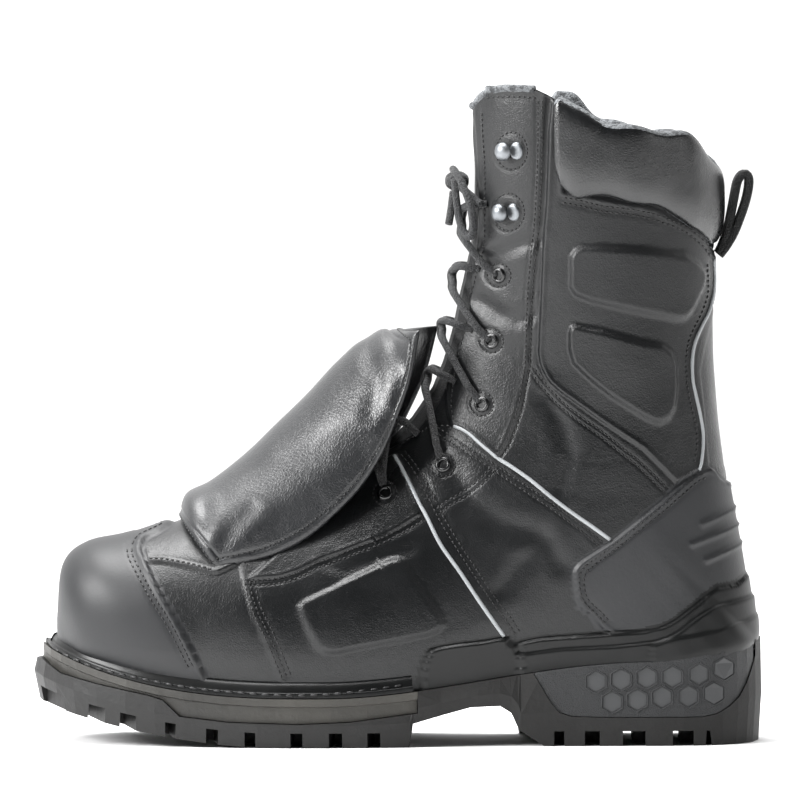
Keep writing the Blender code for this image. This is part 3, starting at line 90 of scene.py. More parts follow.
# %% Section tables
OUTLINE = (
    # along, outer, inner
    (0.000, -0.070, 0.070),
    (0.010, 0.070, 0.205),
    (0.030, 0.180, 0.300),
    (0.060, 0.270, 0.365),
    (0.100, 0.340, 0.410),
    (0.150, 0.400, 0.445),
    (0.210, 0.445, 0.468),
    (0.280, 0.480, 0.478),
    (0.350, 0.503, 0.470),
    (0.420, 0.500, 0.440),
    (0.500, 0.468, 0.392),
    (0.580, 0.425, 0.352),
    (0.660, 0.392, 0.342),
    (0.740, 0.378, 0.356),
    (0.820, 0.376, 0.368),
    (0.880, 0.366, 0.362),
    (0.930, 0.332, 0.330),
    (0.965, 0.262, 0.262),
    (0.988, 0.160, 0.160),
    (1.000, 0.000, 0.000),
)

FEATHER = (
    # along, inset
    (0.00, 0.0385),
    (0.06, 0.0300),
    (0.15, 0.0255),
    (0.35, 0.0225),
    (0.60, 0.0212),
    (0.85, 0.0188),
    (1.00, 0.0172),
)

SECTIONS = (
    # name, back along, back up, front along, front up, outer, inner, ridge, widest, round, full
    ("toe rim", 0.0405, 0, 0.0385, 0.146, 0.020, 0.150, 0.062, 0.20, 0.0, 2.4),
    ("toe wall", 0.058, 0, 0.0385, 0.196, 0.130, 0.252, 0.060, 0.22, 0.0, 2.4),
    ("toe edge", 0.089, 0, 0.0455, 0.266, 0.262, 0.338, 0.056, 0.26, 0.0, 2.4),
    ("toe top", 0.133, 0, 0.075, 0.297, 0.340, 0.385, 0.050, 0.28, 0.0, 2.4),
    ("cap back", 0.188, 0, 0.126, 0.310, 0.390, 0.412, 0.044, 0.28, 0.0, 2.3),
    ("vamp", 0.250, 0, 0.191, 0.329, 0.420, 0.428, 0.038, 0.27, 0.0, 2.15),
    ("ball", 0.332, 0, 0.270, 0.359, 0.453, 0.432, 0.032, 0.25, 0.0, 2.0),
    ("joint", 0.414, 0, 0.359, 0.393, 0.455, 0.414, 0.026, 0.23, 0.0, 1.9),
    ("low instep", 0.503, 0, 0.435, 0.430, 0.432, 0.378, 0.020, 0.22, 0.0, 1.85),
    ("instep", 0.597, 0, 0.495, 0.469, 0.396, 0.352, 0.014, 0.22, 0.0, 1.85),
    ("throat", 0.702, 0, 0.535, 0.518, 0.368, 0.347, 0.010, 0.25, 0.0, 1.88),
    ("ankle", 0.812, 0, 0.553, 0.567, 0.360, 0.352, 0.006, 0.32, 0.05, 1.9),
    ("heel fore", 0.901, 0, 0.561, 0.601, 0.358, 0.354, 0.003, 0.38, 0.25, 1.95),
    ("heel side", 0.956, 0, 0.567, 0.627, 0.355, 0.353, 0.002, 0.42, 0.70, 2.0),
    ("heel corner", 0.982, 0, 0.571, 0.648, 0.352, 0.350, 0.000, 0.44, 1.0, 2.0),
    ("counter low", 0.979, 0.206, 0.576, 0.676, 0.348, 0.348, 0.000, 0.44, 1.0, 2.0),
    ("counter", 0.970, 0.275, 0.582, 0.703, 0.346, 0.346, 0.000, 0.44, 1.0, 2.05),
    ("counter top", 0.957, 0.355, 0.588, 0.734, 0.348, 0.348, 0.000, 0.45, 1.0, 2.1),
    ("ankle back", 0.945, 0.440, 0.594, 0.766, 0.356, 0.356, 0.000, 0.46, 1.0, 2.1),
    ("calf low", 0.9355, 0.532, 0.597, 0.803, 0.368, 0.368, 0.000, 0.47, 1.0, 2.15),
    ("calf", 0.9315, 0.630, 0.598, 0.844, 0.382, 0.382, 0.000, 0.47, 1.0, 2.2),
    ("calf top", 0.9315, 0.731, 0.598, 0.890, 0.398, 0.398, 0.000, 0.48, 1.0, 2.3),
    ("collar low", 0.934, 0.833, 0.597, 0.940, 0.414, 0.414, 0.000, 0.48, 1.0, 2.35),
    ("collar", 0.932, 0.963, 0.599, 1.030, 0.432, 0.432, 0.000, 0.48, 1.0, 2.4),
)

THROAT_SECTIONS = (
    # section number, share of THROAT_HALF
    (8.15, 0.30),
    (8.40, 0.62),
    (8.80, 0.78),
    (9.50, 0.86),
    (11.0, 0.92),
    (14.0, 1.00),
    (19.0, 1.04),
    (23.0, 1.08),
)

GUARD_SECTIONS = (
    # crest along, crest up, edge along, edge up, half, inner edge shift along, full
    (0.2005, 0.338, 0.2545, 0.264, 0.365, 0.000, 2.3),
    (0.2040, 0.362, 0.2580, 0.268, 0.367, 0.000, 2.3),
    (0.2130, 0.3795, 0.2660, 0.272, 0.369, 0.000, 2.3),
    (0.2430, 0.397, 0.2880, 0.276, 0.374, 0.000, 2.2),
    (0.2900, 0.438, 0.3300, 0.288, 0.378, 0.000, 2.1),
    (0.3320, 0.481, 0.3750, 0.313, 0.372, 0.000, 2.05),
    (0.3740, 0.527, 0.4140, 0.349, 0.362, 0.002, 2.0),
    (0.4140, 0.576, 0.4500, 0.391, 0.352, 0.006, 2.0),
    (0.4510, 0.6115, 0.4800, 0.443, 0.345, 0.010, 2.0),
    (0.4750, 0.6255, 0.5020, 0.502, 0.340, 0.016, 2.0),
    (0.4920, 0.6285, 0.5190, 0.560, 0.336, 0.021, 2.0),
    (0.5030, 0.6300, 0.5300, 0.631, 0.332, 0.026, 2.0),
)

UPPER_TOP = (
    (0.560, 0.955),
    (0.606, 0.966),
    (0.617, 0.986),
    (0.647, 0.999),
    (0.682, 0.997),
    (0.708, 0.984),
    (0.723, 0.960),
    (0.778, 0.936),
    (0.853, 0.925),
    (0.881, 0.919),
    (0.901, 0.902),
    (0.922, 0.876),
    (0.942, 0.847),
    (1.060, 0.800),
)

COLLAR_LOW = (
    (0.713, 0.862),
    (0.737, 0.838),
    (0.778, 0.833),
    (0.846, 0.816),
    (0.888, 0.800),
    (0.915, 0.772),
    (0.945, 0.748),
)

HEXAGONS = (
    # along, up, for the two rows on the heel insert
    (0.770, 0.098),
    (0.804, 0.101),
    (0.839, 0.104),
    (0.874, 0.105),
    (0.911, 0.108),
    (0.945, 0.116),
    (0.792, 0.067),
    (0.826, 0.070),
    (0.860, 0.074),
    (0.896, 0.075),
    (0.931, 0.079),
)

EYELETS = (
    (0.483, 0.382),
    (0.562, 0.425),
    (0.615, 0.517),
    (0.628, 0.613),
    (0.638, 0.713),
)

HOOKS = (
    (0.645, 0.809),
    (0.649, 0.902),
)

COLLAR_PROFILE = (
    # share of the way up the padding, side -1 inside and +1 outside, share of the padding
    (0.00, 1, 0.10),
    (0.10, 1, 0.62),
    (0.35, 1, 0.95),
    (0.70, 1, 1.00),
    (1.00, 1, 0.80),
    (1.00, 0, 1.00),
    (1.00, -1, 0.80),
    (0.70, -1, 1.00),
    (0.30, -1, 0.95),
    (0.00, -1, 0.55),
)

KNOT = (20.25, 0.0053)      # section, and distance from the upper to its middle
BOW = (
    # piece, then rows of: sections from the knot, sideways, distance from the upper
    ("lace_loop", ((0.06, 0.0068, 0.0070), (-0.50, 0.0125, 0.0078), (-1.10, 0.0150, 0.0080),
                   (-1.50, 0.0180, 0.0082), (-1.55, 0.0215, 0.0082), (-1.10, 0.0240, 0.0084),
                   (-0.40, 0.0235, 0.0086), (0.15, 0.0200, 0.0086), (0.40, 0.0150, 0.0084),
                   (0.42, 0.0090, 0.0078))),
    ("lace_end", ((-0.38, 0.0036, 0.0070), (-0.85, 0.0052, 0.0078), (-1.20, 0.0062, 0.0084),
                  (-1.60, 0.0072, 0.0092))),
)

# %% [markdown]
# Curves through the tables. A curve without overshoot suits the outline of the sole. A rounded spline
# suits the sections, because they are evenly numbered.

# %% Surface of the last
def way_along(points):
    """Distance along a line at each of its points."""
    return np.concatenate([[0], np.cumsum(np.linalg.norm(np.diff(points, axis=0), axis=1))])


def spread(points, count):
    """The same line with this many points, evenly spaced along it."""
    way = way_along(points)
    even = np.linspace(0, way[-1], count)
    return np.stack([np.interp(even, way, points[:, k]) for k in range(points.shape[1])], 1)


def along(share):
    return (share - 0.5) * LENGTH


def smooth(t):
    t = np.clip(t, 0.0, 1.0)
    return t * t * (3.0 - 2.0 * t)


def seat(x):
    """Height of the feather line at x."""
    share = x / LENGTH + 0.5
    toe = np.clip((0.366 - share) / 0.366, 0.0, 1.0)
    back = np.clip((share - 0.85) / 0.15, 0.0, 1.2)
    heel = HEEL_RISE * smooth((share - 0.40) / 0.45) + HEEL_SCOOP * back ** 1.5
    return SEAT_LOW + TOE_SPRING * toe ** 2.45 + heel


def table(rows, x, column=1):
    shares = [row[0] for row in rows]
    values = [row[column] for row in rows]
    return np.interp(x / LENGTH + 0.5, shares, values)


def curve(xs, ys, x):
    """Smooth curve without overshoot through the points of a table."""
    xs = np.asarray(xs, float)
    ys = np.asarray(ys, float)
    step = np.diff(xs)
    slope = np.diff(ys) / step
    grade = np.zeros(len(xs))
    for i in range(1, len(xs) - 1):
        if slope[i - 1] * slope[i] > 0:
            a = 2 * step[i] + step[i - 1]
            b = step[i] + 2 * step[i - 1]
            grade[i] = (a + b) / (a / slope[i - 1] + b / slope[i])
    grade[0] = slope[0]
    grade[-1] = slope[-1]
    x = np.clip(x, xs[0], xs[-1])
    i = np.clip(np.searchsorted(xs, x) - 1, 0, len(step) - 1)
    t = (x - xs[i]) / step[i]
    low = ys[i] * (2 * t ** 3 - 3 * t ** 2 + 1) + ys[i + 1] * (3 * t ** 2 - 2 * t ** 3)
    return low + step[i] * (grade[i] * (t ** 3 - 2 * t ** 2 + t) + grade[i + 1] * (t ** 3 - t ** 2))


def spline(values, s):
    """Rounded curve through equally spaced values, at place s."""
    values = np.asarray(values, float)
    last = len(values) - 1
    s = np.clip(s, 0, last)
    i = np.minimum(np.floor(s).astype(int), last - 1)
    t = s - i
    before = values[np.maximum(i - 1, 0)]
    after = values[np.minimum(i + 2, last)]
    a = values[i]
    b = values[i + 1]
    ga = (b - before) / 2
    gb = (after - a) / 2
    return (a * (2 * t ** 3 - 3 * t ** 2 + 1) + b * (3 * t ** 2 - 2 * t ** 3)
            + ga * (t ** 3 - 2 * t ** 2 + t) + gb * (t ** 3 - t ** 2))


OUT = [np.array(column) for column in zip(*OUTLINE)]


def outline(shares, inset):
    """Outer-side and inner-side points of the outline at these shares, moved in by inset(share)."""
    shares = np.asarray(shares, float)
    fine = (1 - np.cos(np.linspace(0, math.pi, 241))) / 2
    outer = -curve(OUT[0], OUT[1], fine) * BALL_WIDTH
    inner = curve(OUT[0], OUT[2], fine) * BALL_WIDTH
    loop = np.concatenate([np.stack([along(fine), outer], 1),
                           np.stack([along(fine), inner], 1)[::-1][1:-1]])
    side = np.concatenate([fine, fine[::-1][1:-1]])
    run = np.roll(loop, -1, 0) - np.roll(loop, 1, 0)
    normal = np.stack([-run[:, 1], run[:, 0]], 1)
    normal /= np.linalg.norm(normal, axis=1)[:, None]
    loop = loop + normal * inset(side)[:, None]
    n = len(fine)
    low = loop[:n]
    high = np.concatenate([loop[:1], loop[n:][::-1], loop[n - 1:n]])
    result = []
    for run in (low, high):
        result.append(np.stack([np.interp(shares, fine, run[:, 0]), np.interp(shares, fine, run[:, 1])], 1))
    return result


def feather_inset(share):
    return np.interp(share, [row[0] for row in FEATHER], [row[1] for row in FEATHER]) * LENGTH


FEATHER_SHARES = (1 - np.cos(np.linspace(0, math.pi, 161))) / 2
FEATHER_OUTER, FEATHER_INNER = outline(FEATHER_SHARES, feather_inset)


def feather(x, side):
    """Sideways place of the feather line at x, side -1 outer and +1 inner."""
    points = FEATHER_OUTER if side < 0 else FEATHER_INNER
    return np.interp(x, points[:, 0], points[:, 1])


def fixed(mm, toe=0.0, waist=0.0):
    """Inset along the outline: a steady part, more at the toe, more at the waist. Shares of LENGTH."""
    def inset(share):
        front = np.clip(1 - share / 0.12, 0, 1) ** 1.5
        middle = smooth((share - 0.50) / 0.06) * smooth((0.72 - share) / 0.06)
        return LENGTH * (mm + toe * front + waist * middle)
    return inset


COLUMN = {name: [row[k] for row in SECTIONS] for k, name in enumerate(
    ("name", "bx", "bz", "tx", "tz", "outer", "inner", "ridge", "widest", "round", "full"))}
LAST = len(SECTIONS) - 1
CORNER = 14


def section_ends(s):
    bx = along(spline(COLUMN["bx"], s))
    lift = [seat(along(x)) if z == 0 else z * HEIGHT for x, z in zip(COLUMN["bx"], COLUMN["bz"])]
    bz = seat(bx) if s <= CORNER else spline(lift, s)
    return bx, bz, along(spline(COLUMN["tx"], s)), spline(COLUMN["tz"], s) * HEIGHT


def half_section(s, side, count):
    """Points of one side of section s, evenly spaced from the back point or feather line to the ridge."""
    bx, bz, tx, tz = section_ends(s)
    ridge = spline(COLUMN["ridge"], s) * BALL_WIDTH
    start = feather(bx, side) if s < CORNER else 0.0
    wide = side * spline(COLUMN["outer" if side < 0 else "inner"], s) * BALL_WIDTH
    if s < CORNER:
        wide = side * max(side * wide, side * start + 0.0004)
    widest = spline(COLUMN["widest"], s)
    closed = np.clip(spline(COLUMN["round"], s), 0, 1)
    full = spline(COLUMN["full"], s)
    t = np.linspace(0, 1, 41)
    if closed > 0.5:
        t = 1 - np.cos(t * math.pi / 2)
    rise = (1 - closed) * smooth(t) + closed * np.sqrt(np.clip(1 - (1 - t) ** 2, 0, 1))
    low_v = t * widest
    low_y = start + (wide - start) * rise
    angle = np.linspace(0, math.pi / 2, 61)[1:]
    high_v = widest + (1 - widest) * np.sin(angle) ** (2 / full)
    high_y = ridge + (wide - ridge) * np.clip(np.cos(angle), 0, 1) ** (2 / full)
    v = np.concatenate([low_v, high_v])
    points = np.stack([bx + v * (tx - bx), np.concatenate([low_y, high_y]), bz + v * (tz - bz)], 1)
    return spread(points, count)


def section_point(s, y):
    """Point of section s at sideways distance y from its ridge."""
    side = -1 if y < 0 else 1
    line = half_section(s, side, 61)
    ridge = line[-1, 1]
    first = int(np.argmax(side * line[:, 1]))
    run = line[first:][::-1]
    return np.array([np.interp(side * (ridge + y), side * run[:, 1], run[:, k]) for k in range(3)])


def over_ridge(s, y, offset):
    """The same point moved out from the upper by offset."""
    low = max(s - 0.1, 0.0)
    high = min(s + 0.1, float(LAST))
    along_ridge = section_point(high, y) - section_point(low, y)
    sideways = section_point(s, y + 0.001) - section_point(s, y - 0.001)
    out = np.cross(along_ridge, sideways)
    out /= np.linalg.norm(out)
    if out[0] > 0:
        out = -out
    return section_point(s, y) + out * offset


def side_point(x, z, side):
    """Point of the upper seen at x, z from the side, with its outward direction."""
    lo = 0.0
    hi = float(LAST)
    for _ in range(40):
        s = (lo + hi) / 2
        bx, bz, tx, tz = section_ends(s)
        turn = (tx - bx) * (z - bz) - (tz - bz) * (x - bx)
        if turn < 0:
            lo = s
        else:
            hi = s
    line = half_section(s, side, 61)
    bx, bz, tx, tz = section_ends(s)
    run = np.array([tx - bx, tz - bz])
    size = run @ run
    v = ((x - bx) * run[0] + (z - bz) * run[1]) / size
    line_v = ((line[:, 0] - bx) * run[0] + (line[:, 2] - bz) * run[1]) / size
    return s, v, np.interp(v, line_v, line[:, 1])


def column_point(s, share, side):
    line = half_section(s, side, 41)
    place = share * 40
    i = min(int(place), 39)
    return line[i] + (line[i + 1] - line[i]) * (place - i)


def find_level(share, side, edge):
    """Section number where this column meets an edge of the side view."""
    lo = 18.0
    hi = float(LAST)
    for _ in range(30):
        s = (lo + hi) / 2
        point = column_point(s, share, side)
        if point[2] < table(edge, point[0]) * HEIGHT:
            lo = s
        else:
            hi = s
    return (lo + hi) / 2


def collar_section(share, side):
    low = find_level(share, side, COLLAR_LOW)
    high = find_level(share, side, UPPER_TOP)
    section = []
    for up, face, fill in COLLAR_PROFILE:
        s = low + (high - low) * up
        point = column_point(s, share, side)
        ahead = column_point(s, min(share + 0.03, 1), side)
        behind = column_point(s, share - 0.03, side) if share > 0.03 else ahead * np.array([1, -1, 1])
        rise = column_point(min(s + 0.2, LAST), share, side) - column_point(s - 0.2, share, side)
        normal = np.cross(ahead - behind, rise) * -side
        normal /= np.linalg.norm(normal)
        if normal @ (point - np.array([along(0.77), 0, point[2]])) < 0:
            normal = -normal
        if share == 0:
            normal = np.array([1.0, 0.0, 0.1])
        if face > 0:
            offset = CLEARANCE + COLLAR_OUT * fill
        elif face < 0:
            offset = -WALL - CLEARANCE - COLLAR_IN * fill
        else:
            offset = (COLLAR_OUT - COLLAR_IN) * 0.5 - WALL * 0.5
        lift = COLLAR_TOP * (1.0 if face == 0 else 0.45) if up == 1.0 else 0.0
        section.append(point + normal * offset + np.array([0, 0, lift]))
    return section


def round_path(points, step):
    """Points along a smooth curve through these, about step apart."""
    points = np.asarray(points)
    number = len(points) - 1
    fine = np.linspace(0, number, number * 12 + 1)
    dense = np.stack([spline(points[:, k], fine) for k in range(3)], 1)
    return spread(dense, max(3, int(round(way_along(dense)[-1] / step)) + 1))


def lace_offset(s, y):
    """Middle of the lace over the upper: above the eyestay at the sides, lower over the tongue."""
    half = np.interp(s, *zip(*THROAT_SECTIONS)) * THROAT_HALF
    edge = smooth((abs(y) - (half - 0.012)) / 0.007)
    low = LACE_RADIUS + 3 * CLEARANCE
    return low + (OVERLAY + LACE_RADIUS + 4 * CLEARANCE - low) * edge


def lace_anchor_at(side, number):
    """Where the lace leaves an eyelet or a hook, on the side of the throat."""
    share, up = (EYELETS + HOOKS)[number]
    s, v, y = side_point(along(share), up * HEIGHT, side)
    return s, y - side * (EYELET_RADIUS + LACE_RADIUS + 2 * CLEARANCE)

print("sections", LAST + 1)

# %% [markdown]
# Panels and seams are drawn in the side view, in millimetres along the boot and up from the floor, as a
# pattern cutter would. Each closed edge bounds a panel, and each open line is a seam, a fold or a piping.

# %% Pattern of the panels
EDGES = {
    "toe_cap": (
        (-97.2, 96.6), (-99.9, 93.5), (-104.3, 90.9), (-108.7, 89.1), (-110.8, 87.8), (-111.7, 85.6),
        (-111.7, 83.4), (-110.0, 79.9), (-107.8, 75.5), (-104.3, 68.9), (-99.9, 61.5), (-95.5, 54.0),
        (-91.1, 46.1), (-86.7, 37.8), (-81.4, 26.3), (-174.5, 17.6), (-174.5, 114.1), (-97.2, 114.1),
    ),
    "guard_wing": (
        (-111.7, 84.7), (-108.7, 79.0), (-102.1, 79.0), (-95.5, 78.1), (-86.7, 76.4), (-78.8, 74.6),
        (-69.1, 79.0), (-69.1, 114.1), (-121.8, 114.1),
    ),
    "quarter": (
        (-67.8, 75.5), (-66.5, 70.2), (-64.8, 63.7), (-62.6, 57.1), (-59.5, 50.5), (-56.0, 42.6),
        (-52.9, 35.1), (-48.9, 21.9), (71.3, 21.9), (176.7, 21.9), (176.7, 298.5), (9.9, 298.5),
        (-42.8, 149.3), (-67.8, 87.8),
    ),
    "facing": (
        (-1.5, 125.6), (-7.7, 122.0), (-29.6, 105.4), (-42.8, 92.2), (-64.8, 72.4), (-51.6, 73.3),
        (-42.8, 75.9), (-34.0, 80.3), (-25.2, 83.4), (-16.5, 86.9), (-7.7, 90.0), (1.1, 94.4),
        (10.3, 100.1), (5.5, 113.3), (1.1, 121.6),
    ),
    "shaft_panel": (
        (63.0, 193.2), (61.7, 171.2), (62.6, 165.9), (64.8, 161.1), (66.9, 158.0), (71.3, 154.1),
        (75.7, 151.0), (88.9, 141.4), (106.5, 129.5), (115.2, 120.7), (120.9, 114.6), (131.5, 119.8),
        (132.4, 122.9), (133.2, 129.5), (133.2, 136.1), (131.9, 144.0), (130.2, 151.5), (128.4, 157.6),
        (128.4, 164.6), (128.8, 171.2), (130.2, 176.5), (132.8, 182.2), (135.9, 187.9), (137.6, 193.2),
        (138.5, 197.6), (138.9, 204.1), (138.5, 212.9), (132.8, 221.7), (110.8, 234.4), (72.2, 241.4),
        (71.3, 298.5), (67.4, 281.8), (66.1, 267.8), (65.2, 237.1), (63.9, 219.5),
    ),
    "eyestay": (
        (34.5, 277.9), (34.0, 275.7), (34.5, 272.2), (35.3, 265.6), (36.2, 250.2), (36.2, 228.3),
        (35.8, 217.3), (34.0, 210.7), (32.3, 204.1), (30.5, 197.6), (29.2, 193.2), (28.3, 184.4),
        (26.1, 175.6), (23.9, 164.6), (22.6, 158.0), (21.7, 149.3), (22.6, 142.7), (24.4, 138.7),
        (28.3, 137.4), (31.8, 135.2), (36.2, 131.3), (43.7, 125.1), (47.6, 131.7), (51.1, 140.5),
        (53.8, 149.3), (55.5, 158.0), (57.3, 166.8), (58.6, 193.2), (59.9, 206.3), (61.2, 219.5),
        (62.1, 228.3), (63.0, 245.8), (63.9, 272.2), (64.8, 284.5), (62.6, 298.5), (27.4, 298.5),
    ),
    "vamp_pad": (
        (-42.4, 61.5), (-40.6, 63.2), (-20.9, 72.4), (-3.3, 80.8), (-0.2, 81.7), (2.0, 80.3), (18.7, 56.2),
        (19.5, 53.1), (17.8, 50.9), (14.3, 49.2), (1.1, 46.5), (-16.5, 43.5), (-27.4, 41.3), (-31.4, 41.7),
        (-34.9, 43.9), (-39.3, 51.8), (-41.9, 58.4),
    ),
    "shaft_pad_high": (
        (75.7, 212.9), (77.5, 216.0), (80.1, 217.3), (88.9, 217.3), (106.5, 216.0), (124.0, 213.4),
        (128.4, 210.7), (131.5, 207.2), (132.8, 205.0), (131.9, 199.7), (129.3, 194.5), (126.7, 188.8),
        (124.0, 186.1), (120.5, 185.7), (110.8, 187.9), (97.7, 191.0), (84.5, 194.0), (77.9, 196.7),
        (75.7, 199.7),
    ),
    "shaft_pad_low": (
        (75.3, 180.0), (76.2, 182.6), (77.9, 183.1), (88.9, 180.9), (106.5, 175.6), (114.4, 174.3),
        (118.3, 171.2), (120.1, 165.9), (120.5, 155.8), (119.6, 147.1), (117.4, 142.7), (113.9, 140.9),
        (110.8, 141.4), (106.5, 143.6), (93.3, 152.3), (84.5, 159.4), (77.0, 166.8), (75.3, 173.4),
    ),
    "backstay": (
        (134.1, 173.4), (138.5, 188.8), (139.8, 211.6), (159.1, 215.1), (159.1, 118.5), (135.9, 120.3),
        (134.6, 136.1), (133.2, 149.3), (131.9, 162.4),
    ),
    "counter": (
        (93.3, 48.7), (88.9, 51.8), (84.5, 57.1), (80.1, 60.1), (78.4, 63.7), (77.5, 70.2), (77.0, 75.9),
        (77.9, 78.1), (80.1, 80.3), (93.3, 88.7), (106.5, 99.2), (115.2, 106.2), (124.0, 114.1),
        (130.6, 118.5), (132.8, 119.8), (135.9, 120.3), (137.6, 119.0), (139.8, 115.5), (142.5, 113.3),
        (176.7, 111.1), (176.7, 43.9),
    ),
    "cup": (
        (52.9, 45.2), (62.6, 47.0), (88.9, 48.7), (106.5, 50.0), (115.2, 51.8), (119.6, 54.0),
        (124.0, 57.1), (128.4, 60.6), (132.8, 64.1), (135.4, 66.3), (138.1, 68.0), (146.0, 68.9),
        (149.5, 71.1), (152.6, 74.2), (154.7, 74.6), (176.7, 76.4), (176.7, 21.9), (52.9, 21.9),
    ),
    "cup_low": (
        (52.9, 40.4), (71.3, 42.6), (93.3, 43.5), (110.8, 45.2), (117.4, 47.0), (121.8, 49.2),
        (126.2, 52.7), (130.6, 56.2), (135.0, 58.8), (139.4, 60.6), (150.4, 62.8), (156.5, 65.0),
        (176.7, 66.7), (176.7, 21.9), (52.9, 21.9),
    ),
    "cup_back": (
        (110.8, 43.9), (119.6, 46.5), (128.4, 47.9), (137.2, 49.2), (146.0, 51.8), (157.8, 56.6),
        (176.7, 61.5), (176.7, 21.9), (110.8, 21.9),
    ),
    "waist_wing": (
        (15.6, 42.6), (18.7, 43.5), (27.4, 44.8), (36.2, 45.7), (45.9, 47.4), (48.1, 46.1), (51.6, 41.7),
        (58.2, 33.4), (62.6, 17.6), (9.9, 17.6), (10.8, 31.6), (12.1, 37.3), (14.3, 41.7),
    ),
}
LINES = {
    "piping_front": (
        (-1.5, 125.6), (1.1, 121.6), (5.5, 113.3), (9.9, 104.5), (12.5, 100.1), (18.7, 87.8), (27.4, 75.5),
        (36.2, 62.3), (46.3, 47.9),
    ),
    "piping_middle": (
        (24.8, 138.7), (28.3, 137.4), (31.8, 135.2), (36.2, 131.3), (40.6, 127.7), (43.7, 125.1),
        (49.4, 121.6), (58.2, 115.5), (66.9, 108.4), (75.7, 101.8), (84.5, 95.7), (92.4, 90.0),
    ),
    "piping_back": (
        (138.5, 211.6), (138.9, 204.1), (138.5, 197.6), (137.6, 193.2), (135.9, 187.9), (132.8, 182.2),
        (130.2, 176.5), (128.8, 171.2), (128.4, 164.6), (128.8, 158.0), (130.2, 151.5), (131.9, 144.0),
        (133.2, 136.1), (133.2, 129.5), (132.4, 122.9), (131.5, 119.8),
    ),
    "crease_1": ((37.1, 209.8), (45.0, 214.2), (53.8, 218.2), (60.8, 220.4)),
    "crease_2": ((37.5, 193.2), (45.0, 187.9), (52.9, 185.3), (58.2, 187.9)),
    "crease_3": ((64.8, 151.5), (71.3, 140.5), (74.8, 127.3), (71.3, 111.9)),
    "crease_4": ((25.2, 118.5), (31.8, 105.4), (45.0, 96.6), (62.6, 92.2)),
    "crease_5": ((71.3, 79.0), (64.8, 87.8), (53.8, 79.0), (45.0, 68.0)),
    "crease_6": ((-29.6, 79.0), (-23.0, 76.8), (-7.7, 82.5), (5.5, 85.6)),
    "guard_fold_1": ((-79.7, 75.5), (-77.0, 85.6), (-70.9, 96.6), (-63.9, 103.2)),
    "guard_fold_2": ((-64.8, 79.0), (-59.5, 87.8), (-49.4, 98.8), (-34.9, 105.4)),
    "guard_fold_3": ((-13.8, 180.0), (-12.1, 169.0), (-9.4, 155.8), (-12.1, 144.9)),
    "guard_fold_4": ((-1.1, 180.0), (0.2, 171.2), (2.9, 160.2), (1.1, 151.5)),
    "guard_fold_5": ((-86.7, 85.6), (-83.6, 94.4), (-84.5, 103.2)),
    "guard_fold_6": ((-42.8, 127.3), (-29.6, 131.7), (-16.5, 129.5)),
    "rib_1": ((131.9, 96.1), (149.0, 103.2)),
    "rib_2": ((127.5, 87.4), (150.4, 95.7)),
    "rib_3": ((133.7, 80.3), (152.1, 87.8)),
    "top_binding": (
        (32.9, 276.1), (33.8, 279.2), (35.8, 281.8), (38.4, 283.6), (41.5, 284.9), (47.2, 285.8),
        (58.2, 285.4), (62.6, 284.9), (65.2, 283.6), (67.4, 281.4),
    ),
    "welt_seam": (
        (-156.9, 43.9), (-148.2, 39.5), (-139.4, 36.4), (-130.6, 33.4), (-108.7, 29.0), (-86.7, 25.5),
        (-69.1, 24.1), (-42.8, 22.8), (-16.5, 24.6), (1.1, 26.8), (8.1, 28.1),
    ),
    "pull_loop": (
        (140.7, 213.8), (142.5, 217.3), (144.7, 223.9), (146.4, 231.8), (147.7, 238.8), (149.0, 245.0),
        (150.8, 248.0), (153.0, 248.5), (154.1, 246.3), (153.9, 242.3), (152.8, 237.1), (150.8, 230.9),
        (147.7, 223.0), (144.2, 216.9), (141.1, 212.9),
    ),
}
for pattern in (EDGES, LINES):
    for name in pattern:
        pattern[name] = side_view(pattern[name])
RIBS = ("rib_1", "rib_2", "rib_3")
